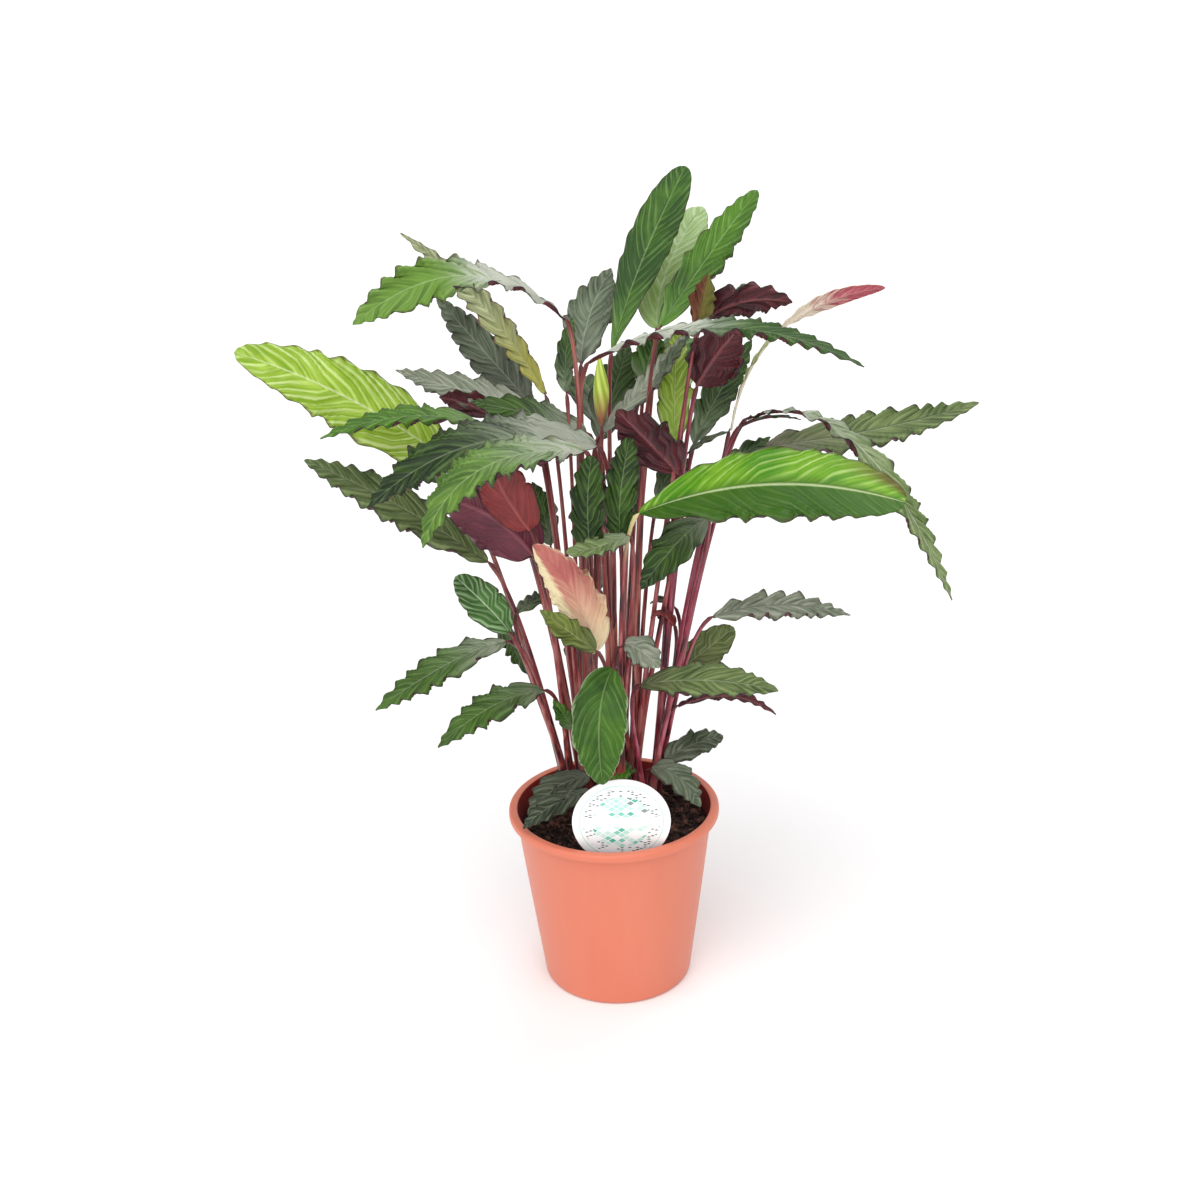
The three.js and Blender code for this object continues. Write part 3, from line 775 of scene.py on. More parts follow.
def leaf_under(name, deep, bright, rib, margin, cream_from=0.95, one_sided=0.0, cream_base=None):
    """Living leaf, underside, smooth and waxy: a satin surface whose raised veins catch light.
    A young leaf's margins are still cream, from cream_from outwards, and more on one side, and
    so is its base, up to the second of the two shares of its length in cream_base."""
    made, tree, shader = new_finish(
        name,
        Roughness=0.42,
        Sheen_Weight=0.08,
        Sheen_Roughness=0.5,
        Sheen_Tint=linear("#e8c8cc"),
        Specular_IOR_Level=0.4,
    )
    along, across, reach, _, _, streak, light, normal = leaf_pattern(tree, 0.12)
    colour = add(tree, "ShaderNodeMix", {0: light, 6: linear(deep), 7: linear(bright)}, **MIX_COLOURS)
    midrib = add(tree, "ShaderNodeMapRange", {0: reach, 1: 0.02, 2: 0.09, 3: 0.6, 4: 0.0})

    # The margin's inner edge wanders with the streaks
    spread = 1 - cream_from
    wander = add(tree, "ShaderNodeMath", {0: light, 1: 0.5}, operation="SUBTRACT")
    wander = add(tree, "ShaderNodeMath", {0: wander, 1: spread, 2: reach}, operation="MULTIPLY_ADD")
    uneven_reach = {0: across, 1: -one_sided, 2: wander}
    wander = add(tree, "ShaderNodeMath", uneven_reach, operation="MULTIPLY_ADD")
    edge = add(
        tree,
        "ShaderNodeMapRange",
        {0: wander, 1: cream_from, 2: cream_from + 0.6 * spread, 3: 0.0, 4: 1.0},
    )
    layers = [(midrib, rib), (edge, margin)]

    if cream_base:
        start, end = cream_base
        base = add(tree, "ShaderNodeMath", {0: streak, 1: -0.15, 2: along}, operation="MULTIPLY_ADD")
        base = add(tree, "ShaderNodeMapRange", {0: base, 1: start, 2: end, 3: 0.85, 4: 0.0})
        layers.append((base, margin))

    for share, laid in layers:
        colour = add(tree, "ShaderNodeMix", {0: share, 6: colour, 7: linear(laid)}, **MIX_COLOURS)
    tree.links.new(colour, shader.inputs["Base Color"])
    tree.links.new(normal, shader.inputs["Normal"])
    return made


def stalk_skin():
    """Living stalk, smooth and ribbed along its length: burgundy with its own mottling, and
    streaks of pink that are painted highlights and of nearly black that are painted shade,
    darker at its foot, partly its own colour and partly painted shade, duller high up, with a
    dark red neck under the blade. One is still cream there."""
    made, tree, shader = new_finish(
        "stalk_skin", Roughness=0.3, Sheen_Weight=0.1, Specular_IOR_Level=0.5
    )
    height, neck, around, tint, cream = (
        add(tree, "ShaderNodeAttribute", {}, out="Fac", attribute_name=key)
        for key in ("height", "neck", "around", "tint", "cream")
    )
    place = add(tree, "ShaderNodeCombineXYZ", {0: around, 1: height, 2: tint})
    place = add(tree, "ShaderNodeVectorMath", {0: place, 1: (2.6, 9, 50)}, operation="MULTIPLY")
    streak = add(tree, "ShaderNodeTexNoise", {"Vector": place, "Scale": 1.0, "Detail": 4})
    dark, red, pink = (
        add(tree, "ShaderNodeMix", {0: tint, 6: linear(brown), 7: linear(crimson)}, **MIX_COLOURS)
        for brown, crimson in (("#3a1214", "#4c0e26"), ("#a0443a", "#a43050"), ("#cf8a7a", "#cf6c8a"))
    )

    # Streaks from nearly black to pink: partly the stalk's own mottling, partly painted shade on the
    # dark ones and painted highlights on the pink ones
    share = add(tree, "ShaderNodeMapRange", {0: streak, 1: 0.36, 2: 0.5, 3: 0.0, 4: 1.0})
    colour = add(tree, "ShaderNodeMix", {0: share, 6: dark, 7: red}, **MIX_COLOURS)
    share = add(tree, "ShaderNodeMapRange", {0: streak, 1: 0.52, 2: 0.62, 3: 0.0, 4: 0.65})
    colour = add(tree, "ShaderNodeMix", {0: share, 6: colour, 7: pink}, **MIX_COLOURS)

    # What changes from foot to blade: darker at the foot, partly its own colour and partly painted
    # shade, duller high up, a dark red neck and a cream one
    upper = add(tree, "ShaderNodeMapRange", {0: height, 1: 0.5, 2: 0.85, 3: 0.0, 4: 0.45})
    low = add(tree, "ShaderNodeMapRange", {0: height, 1: 0.0, 2: 0.2, 3: 0.8, 4: 0.0})
    for share, laid in ((upper, "#6a2428"), (low, "#3e1c20"), (neck, "#54181c"), (cream, "#dfd596")):
        colour = add(tree, "ShaderNodeMix", {0: share, 6: colour, 7: linear(laid)}, **MIX_COLOURS)
    tree.links.new(colour, shader.inputs["Base Color"])

    # Ribs along the stalk
    ridges = add(tree, "ShaderNodeMath", {0: around, 1: 9 * math.tau}, operation="MULTIPLY")
    ridges = add(tree, "ShaderNodeMath", {0: ridges}, operation="SINE")
    height = add(tree, "ShaderNodeMath", {0: ridges, 1: 0.4, 2: streak}, operation="MULTIPLY_ADD")
    bump = add(tree, "ShaderNodeBump", {"Strength": 0.4, "Distance": 0.3 * MM, "Height": height})
    tree.links.new(bump, shader.inputs["Normal"])
    return made


def rolled_blade():
    """Living leaf, still rolled up: glossy, yellow-green, and red-brown low down."""
    made, tree, shader = new_finish("rolled_blade", Roughness=0.4, Specular_IOR_Level=0.45)
    height = add(tree, "ShaderNodeAttribute", {}, out="Fac", attribute_name="height")
    around = add(tree, "ShaderNodeAttribute", {}, out="Fac", attribute_name="around")
    turn = add(tree, "ShaderNodeMath", {0: height, 1: 0.3, 2: around}, operation="MULTIPLY_ADD")
    turn = add(tree, "ShaderNodeMath", {0: turn, 1: 6 * math.tau}, operation="MULTIPLY")
    stripe = add(tree, "ShaderNodeMath", {0: turn}, operation="SINE")
    stripe = add(tree, "ShaderNodeMapRange", {0: stripe, 1: -1.0, 2: 1.0, 3: 0.0, 4: 1.0})
    colour = add(
        tree, "ShaderNodeMix", {0: stripe, 6: linear("#8cae24"), 7: linear("#cfd96a")}, **MIX_COLOURS
    )
    low = add(tree, "ShaderNodeMapRange", {0: height, 1: 0.1, 2: 0.5, 3: 1.0, 4: 0.0})
    colour = add(tree, "ShaderNodeMix", {0: low, 6: colour, 7: linear("#a0664a")}, **MIX_COLOURS)
    tree.links.new(colour, shader.inputs["Base Color"])
    return made


def moulded_polypropylene():
    """Injection-moulded polypropylene: a soft satin orange, with faint flow marks that run up
    the wall and a slight orange-peel texture."""
    made, tree, shader = new_finish(
        "moulded_polypropylene", IOR=1.49, Specular_IOR_Level=0.5, Sheen_Weight=0.08
    )
    place = add(tree, "ShaderNodeTexCoord", {}, out="Object")
    wide, long = scale_of(FLOW_MARK_WIDTH), scale_of(FLOW_MARK_LENGTH)
    stretched = add(tree, "ShaderNodeMapping", {"Vector": place, "Scale": (wide, wide, long)})
    flow = add(tree, "ShaderNodeTexNoise", {"Vector": stretched, "Scale": 1.0, "Detail": 4})
    colour = add(
        tree, "ShaderNodeMix", {0: flow, 6: linear("#d57054"), 7: linear("#dd7f63")}, **MIX_COLOURS
    )
    tree.links.new(colour, shader.inputs["Base Color"])
    rough = add(tree, "ShaderNodeMapRange", {0: flow, 1: 0.3, 2: 0.7, 3: 0.42, 4: 0.55})
    tree.links.new(rough, shader.inputs["Roughness"])
    peel = {"Vector": place, "Scale": scale_of(ORANGE_PEEL), "Detail": 2}
    peel = add(tree, "ShaderNodeTexNoise", peel)
    bump = add(tree, "ShaderNodeBump", {"Strength": 0.08, "Distance": 0.3 * MM, "Height": peel})
    tree.links.new(bump, shader.inputs["Normal"])
    return made


def painted_shade_polypropylene():
    """The same plastic inside the pot, dulled, with painted shade: nearly black at the soil
    line and dark red up at the lip, its edge wandering with noise.
    """
    made, tree, shader = new_finish("painted_shade_polypropylene", Roughness=0.75, IOR=1.49)
    place = add(tree, "ShaderNodeTexCoord", {}, out="Object")
    up = add(tree, "ShaderNodeSeparateXYZ", {0: place}, out="Z")
    shade_edge = {"Vector": place, "Scale": scale_of(SHADE_EDGE_SIZE), "Detail": 4}
    shade_edge = add(tree, "ShaderNodeTexNoise", shade_edge)
    level = {0: shade_edge, 1: SHADE_EDGE_HEIGHT * MM, 2: up}
    level = add(tree, "ShaderNodeMath", level, operation="MULTIPLY_ADD")
    share = add(
        tree,
        "ShaderNodeMapRange",
        {0: level, 1: MIX_EDGE_HEIGHT * MM, 2: (POT_HEIGHT + 4) * MM, 3: 0.0, 4: 1.0},
    )
    # Painted shade: nearly black at the soil line, dark red near the lip
    colour = add(
        tree, "ShaderNodeMix", {0: share, 6: linear("#2c0c0a"), 7: linear("#96281f")}, **MIX_COLOURS
    )
    tree.links.new(colour, shader.inputs["Base Color"])
    return made


def damp_peat(name, dark, light, speck_size):
    """Damp peat and composted bark: matt, nearly black, with browner dry specks."""
    made, tree, shader = new_finish(name, Roughness=0.92, Specular_IOR_Level=0.25)
    place = add(tree, "ShaderNodeTexCoord", {}, out="Object")
    speck = {"Vector": place, "Scale": scale_of(speck_size), "Detail": 6}
    speck = add(tree, "ShaderNodeTexNoise", speck)
    speck = add(tree, "ShaderNodeMapRange", {0: speck, 1: 0.42, 2: 0.72, 3: 0.0, 4: 1.0})
    colour = add(tree, "ShaderNodeMix", {0: speck, 6: linear(dark), 7: linear(light)}, **MIX_COLOURS)
    tree.links.new(colour, shader.inputs["Base Color"])
    grain = {"Vector": place, "Scale": scale_of(PEAT_GRAIN), "Detail": 5}
    grain = add(tree, "ShaderNodeTexNoise", grain)
    bump = add(tree, "ShaderNodeBump", {"Strength": 0.8, "Distance": 0.6 * MM, "Height": grain})
    tree.links.new(bump, shader.inputs["Normal"])
    return made


def white_vinyl():
    """Die-cut rigid vinyl sheet: smooth, white and slightly glossy."""
    made, tree, shader = new_finish("white_vinyl", Roughness=0.32, IOR=1.53)
    place = add(tree, "ShaderNodeTexCoord", {}, out="Object")
    cloud = {"Vector": place, "Scale": scale_of(CLOUD_SIZE), "Detail": 2}
    cloud = add(tree, "ShaderNodeTexNoise", cloud)
    colour = add(
        tree, "ShaderNodeMix", {0: cloud, 6: linear("#f2f4f3"), 7: linear("#fbfcfb")}, **MIX_COLOURS
    )
    tree.links.new(colour, shader.inputs["Base Color"])
    return made


def diamonds(tree, flat, cell_size, fill):
    """Rows of diamonds on a flat place in mm: where they are, and a random value for each.
    cell_size is how wide and how high a cell is from corner to corner, and fill is how far its
    diamond reaches from its middle, where 0.5 fills the cell."""
    wide, high = (math.sqrt(2) / size for size in cell_size)
    place = add(
        tree,
        "ShaderNodeMapping",
        {"Vector": flat, "Rotation": (0, 0, math.radians(45)), "Scale": (wide, high, 0)},
    )
    cell = add(tree, "ShaderNodeVectorMath", {0: place}, operation="FLOOR")
    inside = add(tree, "ShaderNodeVectorMath", {0: place}, operation="FRACTION")
    inside = add(tree, "ShaderNodeVectorMath", {0: inside, 1: (0.5, 0.5, 0)}, operation="SUBTRACT")
    inside = add(tree, "ShaderNodeVectorMath", {0: inside}, operation="ABSOLUTE")
    sideways = add(tree, "ShaderNodeSeparateXYZ", {0: inside}, out="X")
    upward = add(tree, "ShaderNodeSeparateXYZ", {0: inside}, out="Y")
    reach = add(tree, "ShaderNodeMath", {0: sideways, 1: upward}, operation="MAXIMUM")
    on_diamond = add(tree, "ShaderNodeMath", {0: reach, 1: fill}, operation="LESS_THAN")
    return on_diamond, add(tree, "ShaderNodeTexWhiteNoise", {"Vector": cell}, out="Value")


def printed_vinyl():
    """The same sheet with a printed face: a mosaic of diamonds in pale mint, teal and grey above
    and below a plain band, short grey ticks, and a thin ring round it all."""
    made, tree, shader = new_finish("printed_vinyl", Roughness=0.3, IOR=1.53)
    place = add(tree, "ShaderNodeTexCoord", {}, out="Object")
    flat = add(
        tree,
        "ShaderNodeMapping",
        {
            "Vector": place,
            "Location": [value * MM for value in LABEL_CENTRE],
            "Rotation": (math.radians(90 + LABEL_LEAN), 0, 0),
            "Scale": (MM, MM, MM),
        },
        vector_type="TEXTURE",
    )
    sideways = add(tree, "ShaderNodeSeparateXYZ", {0: flat}, out="X")
    upward = add(tree, "ShaderNodeSeparateXYZ", {0: flat}, out="Y")
    on_face = add(tree, "ShaderNodeCombineXYZ", {0: sideways, 1: upward})
    radius = add(tree, "ShaderNodeVectorMath", {0: on_face}, out="Value", operation="LENGTH")
    height = add(tree, "ShaderNodeMath", {0: upward}, operation="ABSOLUTE")
    off_band = add(tree, "ShaderNodeMath", {0: height, 1: PLAIN_BAND}, operation="GREATER_THAN")
    colour = linear("#fafcfb")

    # The mosaic, its diamonds in five inks and some left blank
    inner = add(tree, "ShaderNodeMath", {0: radius, 1: MOSAIC_RADIUS}, operation="LESS_THAN")
    on_diamond, pick = diamonds(tree, flat, MOSAIC_CELL, 0.42)
    printed = add(tree, "ShaderNodeMath", {0: on_diamond, 1: inner}, operation="MULTIPLY")
    printed = add(tree, "ShaderNodeMath", {0: printed, 1: off_band}, operation="MULTIPLY")
    ink = add(tree, "ShaderNodeValToRGB", {0: pick})
    ramp = ink.node.color_ramp
    ramp.interpolation = "CONSTANT"
    ramp.elements[0].color = linear("#fafcfb")
    ramp.elements[1].position = 0.25
    ramp.elements[1].color = linear("#cdeee2")
    for position, tone in ((0.55, "#7fd0bb"), (0.7, "#b4e6d8"), (0.86, "#56bba2"), (0.94, "#8a9895")):
        ramp.elements.new(position).color = linear(tone)
    colour = add(tree, "ShaderNodeMix", {0: printed, 6: colour, 7: ink}, **MIX_COLOURS)

    # The ticks round it
    outer = {0: radius, 1: TICKS_RADIUS, 2: TICKS_REACH}
    outer = add(tree, "ShaderNodeMath", outer, operation="COMPARE")
    on_diamond, pick = diamonds(tree, flat, TICK_CELL, 0.3)
    inked = add(tree, "ShaderNodeMath", {0: pick, 1: 0.55}, operation="GREATER_THAN")
    tick = add(tree, "ShaderNodeMath", {0: on_diamond, 1: inked}, operation="MULTIPLY")
    tick = add(tree, "ShaderNodeMath", {0: tick, 1: outer}, operation="MULTIPLY")
    tick = add(tree, "ShaderNodeMath", {0: tick, 1: off_band}, operation="MULTIPLY")
    colour = add(tree, "ShaderNodeMix", {0: tick, 6: colour, 7: linear("#5f6f6c")}, **MIX_COLOURS)

    # The ring
    ring = {0: radius, 1: RING_RADIUS, 2: RING_REACH}
    ring = add(tree, "ShaderNodeMath", ring, operation="COMPARE")
    colour = add(tree, "ShaderNodeMix", {0: ring, 6: colour, 7: linear("#bfe9de")}, **MIX_COLOURS)
    tree.links.new(colour, shader.inputs["Base Color"])
    return made


def matte_board():
    """Pale matt board under the pot."""
    made, _, _ = new_finish(
        "matte_board", Base_Color=linear("#f7f7f7"), Roughness=0.9, Specular_IOR_Level=0.1
    )
    return made


def bezier(points, share):
    """The places on a Bezier curve at each share of its parameter."""
    layer = [np.array(point, float) for point in points]
    share = share[:, None]
    while len(layer) > 1:
        layer = [first * (1 - share) + second * share for first, second in zip(layer, layer[1:])]
    return layer[0]


def unit(vectors):
    """Vectors with their lengths made 1."""
    return vectors / np.linalg.norm(vectors, axis=-1, keepdims=True)


def smooth(share):
    """A share from 0 to 1 that starts and ends gently."""
    share = np.clip(share, 0, 1)
    return share * share * (3 - 2 * share)


def spine(points, facing, twist=0):
    """A Bezier curve measured by its length: even places, and the directions along it, up from
    it and across it, which turn by twist degrees on the way to its end."""
    fine = bezier(points, np.linspace(0, 1, CURVE_STEPS))
    run = np.concatenate([[0], np.cumsum(np.linalg.norm(np.diff(fine, axis=0), axis=1))])
    share = np.linspace(0, 1, SPINE_PLACES)
    place = np.stack([np.interp(share * run[-1], run, fine[:, axis]) for axis in range(3)], 1)
    along = unit(np.gradient(place, axis=0))
    facing = np.array(facing, float)
    up = unit(facing - (along @ facing)[:, None] * along)
    across = np.cross(up, along)
    turn = np.radians(twist) * smooth((share[:, None] - 0.35) / 0.5)
    return {
        "length": run[-1],
        "place": place,
        "along": along,
        "up": up * np.cos(turn) + across * np.sin(turn),
        "across": across * np.cos(turn) - up * np.sin(turn),
    }


def on_spine(line, share, side, rise):
    """Places at a share of the spine's length, moved sideways and up."""
    even = np.linspace(0, 1, len(line["place"]))
    place, across, up = (
        np.stack([np.interp(share, even, line[key][:, axis]) for axis in range(3)], 1)
        for key in ("place", "across", "up")
    )
    return place + across * side[:, None] + up * rise[:, None]


def flat_places(mesh):
    """A mesh's vertex places as rows of x, y and z."""
    places = np.empty(len(mesh.vertices) * 3)
    mesh.vertices.foreach_get("co", places)
    return places.reshape(-1, 3)


def move_to(mesh, places):
    """Puts a mesh's vertices at places given in millimetres."""
    mesh.vertices.foreach_set("co", (places * MM).ravel())
    mesh.update()


def keep_values(mesh, **values):
    """Stores one number for each vertex under each name, for materials to read."""
    for name, numbers in values.items():
        mesh.attributes.new(name, "FLOAT", "POINT").data.foreach_set("value", numbers)


def mesh_from(bm, name):
    """A bmesh as a named mesh."""
    mesh = bpy.data.meshes.new(name)
    bm.to_mesh(mesh)
    bm.free()
    return mesh


def add_piece(name, mesh, finishes, slot, *nodes):
    """A finished piece of the plant, which takes the place of its nodes."""
    made = bpy.data.objects.new(name, mesh)
    bpy.context.scene.collection.objects.link(made)
    for finish in finishes:
        mesh.materials.append(finish)
    mesh.shade_smooth()
    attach(made, "root")
    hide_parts(*nodes)
    return made


def midrib(base, middle, tip):
    """The Bezier curve's points for a leaf's midrib through its base, middle and tip."""
    base, middle, tip = (np.array(point, float) for point in (base, middle, tip))
    return base, 2 * middle - (base + tip) / 2, tip


def outline(share, blunt, widest, slim):
    """A blade's width at a share of its length, from 0 to 1."""
    power = slim + (blunt - slim) * smooth(share)
    return np.sin(math.pi * np.clip(share, 0, 1) ** widest) ** power


def uneven(share, side, chance, low, high):
    """Random values that run smoothly along a leaf, different on its two halves."""
    knots = np.linspace(0, 1, 9)
    left, right = (np.interp(share, knots, chance.uniform(low, high, 9)) for _ in range(2))
    return np.where(side > 0, left, right)


def blade_mesh(name, base, middle, tip, width, facing, chance):
    """A leaf blade: a flat grid folded along its midrib, pleated by waves that sweep from the
    midrib to the margin, and laid on the curve of its midrib. Its midrib's thickness at each
    point comes with it."""
    shape = {**PLAIN_SHAPE, **LEAF_SHAPES.get(name, {})}
    line = spine(midrib(base, middle, tip), facing, shape["twist"])
    steps = max(LEAST_STEPS, round(line["length"] / BLADE_STEP))
    bm = bmesh.new()
    bmesh.ops.create_grid(bm, x_segments=steps, y_segments=BLADE_CELLS, size=1)
    mesh = mesh_from(bm, name)
    flat = flat_places(mesh)
    share = (flat[:, 0] + 1) / 2
    side = np.sign(flat[:, 1]) * np.abs(flat[:, 1]) ** 1.2
    reach = np.abs(side)
    half = width / 2 * outline(share, shape["blunt"], shape["widest"], shape["slim"])
    half = np.maximum(0.4, half)

    # The folds: where each point lies on them, and how high they are there
    fold_length = FOLD_LENGTH + FOLD_GROWTH * width
    sweep = VEIN_SWEEP * reach * half * (1 + 0.5 * reach)
    drift = uneven(share, side, chance, -0.3, 0.3)
    offset = np.where(side > 0, chance.uniform(0, 1), chance.uniform(0, 1))
    fold = (share * line["length"] - sweep) / fold_length + drift + offset
    turn = math.tau * fold
    fade = np.clip(np.sin(math.pi * share), 0, 1) ** 0.6 * (1 - 0.4 * share**3)
    height = shape["wave"] * min(1, width / FULL_FOLD_WIDTH) * fade
    height = height * uneven(share, side, chance, 0.6, 1.35) * np.where(side > 0, shape["calm"], 1)

    # A wave from midrib to margin, a pleat that is highest halfway out, and a frill on the margin
    wave = height * (PLEAT * reach**0.8 + (1 - PLEAT) * reach**2.2) * np.sin(turn)
    pleat = 0.26 * height * reach**0.7 * (1 - reach**4) * np.sin(2 * turn + 0.8)
    frill = shape["frill"] * height * reach**5 * np.sin(2.7 * turn + 1)

    # The blade's section: a groove over the midrib, and halves that rise and then bend down
    groove = -GROOVE_DEPTH * np.exp(-((reach * half / GROOVE_REACH) ** 2)) * (1 - share)
    bowl = reach * half * math.sin(math.radians(BLADE_FOLD)) - shape["curl"] * half * reach**3
    scallop = shape["scallop"] * height * side * reach**2 * (np.cos(turn) - 0.3 * np.cos(2 * turn))
    sideways = side * half * math.cos(math.radians(BLADE_FOLD)) + scallop

    move_to(mesh, on_spine(line, share, sideways, bowl + wave + pleat + frill + groove))
    alike = {key: np.full(len(share), shape[key]) for key in ("tone", "veined", "base_sheen", "rib")}
    keep_values(mesh, along=share, across=side, fold=fold, **alike)
    thick = np.exp(-((reach * half / MIDRIB_REACH) ** 2)) * (1 - 0.75 * share)
    return mesh, thick


def add_leaf(name, row, finishes, *nodes):
    """A leaf blade with its thickness, its raised midrib below and its two finishes."""
    _, base, middle, tip, width, facing, colour = row
    chance = np.random.default_rng([SEED, *name.encode()])
    mesh, thick = blade_mesh(name, base, middle, tip, width, facing, chance)
    made = add_piece(f"{name}_leaf", mesh, finishes, SLOTS[colour], *nodes)
    group = made.vertex_groups.new(name="midrib")
    for number in np.flatnonzero(thick > 0.02):
        group.add([int(number)], float(thick[number]), "REPLACE")
    wall = made.modifiers.new("thickness", "SOLIDIFY")
    wall.thickness = MIDRIB_THICKNESS * MM
    wall.offset = -1
    wall.vertex_group = "midrib"
    wall.thickness_vertex_group = BLADE_THICKNESS / MIDRIB_THICKNESS
    wall.material_offset = 1
    wall.material_offset_rim = 1
    return made


def stalk_line(foot, base, middle, tip):
    """The spine of a stalk: up from its shoot's foot, turning into the line of its midrib."""
    points = midrib(base, middle, tip)
    along = unit(points[1] - points[0])
    end = points[0] + BLADE_OVERLAP * along
    reach = np.linalg.norm(end - foot)
    lean = unit(end - foot) * (1 - START_LIFT) + np.array((0, 0, START_LIFT))
    start = foot + unit(lean) * START_REACH * reach
    turn = end - along * min(TURN_REACH, TURN_SHARE * reach)
    level = np.cross(end - foot, (0, 0, 1))
    if np.linalg.norm(level) < 1:
        level = np.array((1, 0, 0))
    return spine((foot, start, turn, end), unit(level))


def tubes_mesh(name, tubes):
    """Closed tubes on their spines. Each tube is a dict with its spine (line), where it starts
    and ends on it, its radius as a function of the share of the spine, the part of the tube and
    the angle round it, and its tint. It may also say how long its cells are (step), how many
    sides it has, how far its end slants, and how dark or cream its neck is."""
    bm = bmesh.new()
    for number, tube in enumerate(tubes):
        reach = (tube["end"] - tube["start"]) * tube["line"]["length"]
        bmesh.ops.create_grid(
            bm,
            x_segments=max(6, round(reach / tube.get("step", STALK_STEP))),
            y_segments=tube.get("sides", STALK_SIDES),
            size=1,
            matrix=Matrix.Translation((0, 0, number)),
        )
    mesh = mesh_from(bm, name)
    flat = flat_places(mesh)
    places = np.empty_like(flat)
    values = {key: np.zeros(len(flat)) for key in ("height", "neck", "around", "tint", "cream")}
    for number, tube in enumerate(tubes):
        own = np.rint(flat[:, 2]) == number
        part = (flat[own, 0] + 1) / 2
        angle = math.pi * (flat[own, 1] + 1)
        share = tube["start"] + (tube["end"] - tube["start"]) * part
        share = share - tube.get("slant", 0) * part * (1 - np.cos(angle)) / 2
        radius = tube["radius"](share, part, angle)
        places[own] = on_spine(tube["line"], share, radius * np.cos(angle), radius * np.sin(angle))
        values["height"][own] = share
        left = (1 - share) * tube["line"]["length"]
        values["neck"][own] = tube.get("neck", 0) * (1 - smooth((left - 4) / NECK_LENGTH))
        values["cream"][own] = tube.get("cream", 0) * (1 - smooth((left - 12) / 40))
        values["around"][own] = angle / math.tau
        values["tint"][own] = tube["tint"]
    move_to(mesh, places)
    keep_values(mesh, **values)
    bm = bmesh.new()
    bm.from_mesh(mesh)
    bmesh.ops.remove_doubles(bm, verts=bm.verts, dist=1e-6)
    bmesh.ops.holes_fill(bm, edges=[edge for edge in bm.edges if edge.is_boundary], sides=0)
    bmesh.ops.recalc_face_normals(bm, faces=bm.faces)
    bm.to_mesh(mesh)
    bm.free()
    return mesh


def stalk_radius(share):
    """How a stalk tapers from its foot to its blade."""
    return STALK_FOOT_RADIUS + (STALK_TOP_RADIUS - STALK_FOOT_RADIUS) * share**0.7


def add_shoot(name, foot, rows, skin):
    """One shoot's stalks, each wrapped low down in a sheath with a lapped edge. The stalks of
    the two big leaves in front have stout sheaths that reach high, and one of them is cream
    under its blade. The stalks on the right are more crimson."""
    chance = np.random.default_rng([SEED, *name.encode()])
    floor = np.array((*foot, CROWN_TOP - 4.0))
    tubes = []
    for row in rows:
        _, base, middle, tip, width, _, _ = row
        towards = np.array(base[:2]) - floor[:2]
        spread = min(1, FOOT_SPREAD / np.linalg.norm(towards)) * towards
        line = stalk_line(floor + (*spread, 0), base, middle, tip)
        slim = 0.75 + 0.25 * min(1, width / 34) * min(1, line["length"] / 250)
        swell = min(NECK_LENGTH, 0.2 * line["length"]) / line["length"]
        tall = row in (LEAVES["big_right"], LEAVES["big_left"])
        stout = 1.35 if tall else 1

        # A stalk swells into a neck under its blade, and is rounded off in the blade
        def stalk(share, part, angle, slim=slim, swell=swell):
            neck = np.exp(-(((1 - share - 0.5 * swell) / (0.45 * swell)) ** 2))
            end = np.sqrt(np.clip((1 - share) * 60, 0.02, 1))
            return stalk_radius(share) * slim * (1 + 0.28 * neck) * end

        # A sheath hugs its stalk more closely higher up
        def sheath(share, part, angle, slim=slim, stout=stout):
            lap = 1 + 0.22 * np.exp(-(((angle - 2.2) / 0.5) ** 2))
            close = 1.55 - 0.62 * smooth(part) - 0.25 * smooth((part - 0.9) * 10)
            return stalk_radius(share) * slim * close * lap * stout

        tint = chance.uniform(0.0, 0.35) + (0.55 if name.startswith("right") else 0)
        reach = chance.uniform(0.28, 0.45) + (0.25 if tall else 0)
        cream = 0.85 if row == LEAVES["big_right"] else 0
        tubes.append(
            {
                "line": line,
                "start": 0,
                "end": 1,
                "radius": stalk,
                "tint": tint,
                "neck": 0.8 - cream,
                "cream": cream,
            }
        )
        tubes.append(
            {
                "line": line,
                "start": 0,
                "end": reach,
                "slant": 0.07,
                "radius": sheath,
                "tint": tint * 0.6,
                "sides": SHEATH_SIDES,
            }
        )
    mesh = tubes_mesh(f"{name}_stalks", tubes)
    return add_piece(f"{name}_stalks", mesh, [skin], "stalk", f"shoot_{name}")


def add_rolled_leaf(finish):
    """The leaf that hasn't unrolled yet: a spindle with one edge lapped round it."""
    _, base, middle, tip, width, facing, _ = ROLLED_LEAF

    def spindle(share, part, angle):
        lap = np.exp(-(((angle - 1.5 - 3 * part) / 0.5) ** 2))
        return width / 2 * np.clip(np.sin(math.pi * part**0.8), 0.1, 1) ** 0.8 * (1 + 0.18 * lap)

    line = spine(midrib(base, middle, tip), facing)
    tube = {"line": line, "start": 0, "end": 1, "radius": spindle, "tint": 0, "step": 2, "sides": 24}
    return add_piece("rolled_leaf", tubes_mesh("rolled_leaf", [tube]), [finish], "leaf_lime_green")


def wall_radius(height):
    """The outer radius of the pot's wall at a height above its base."""
    return POT_BASE_RADIUS + (POT_RIM_RADIUS - LIP_WIDTH - POT_BASE_RADIUS) * height / POT_HEIGHT


def arc(centre, radius, first, last, steps):
    """Points of an arc in the plane of radius and height, angles in degrees."""
    turns = [math.radians(first + (last - first) * step / steps) for step in range(steps + 1)]
    return [(centre[0] + radius * math.cos(t), centre[1] + radius * math.sin(t)) for t in turns]


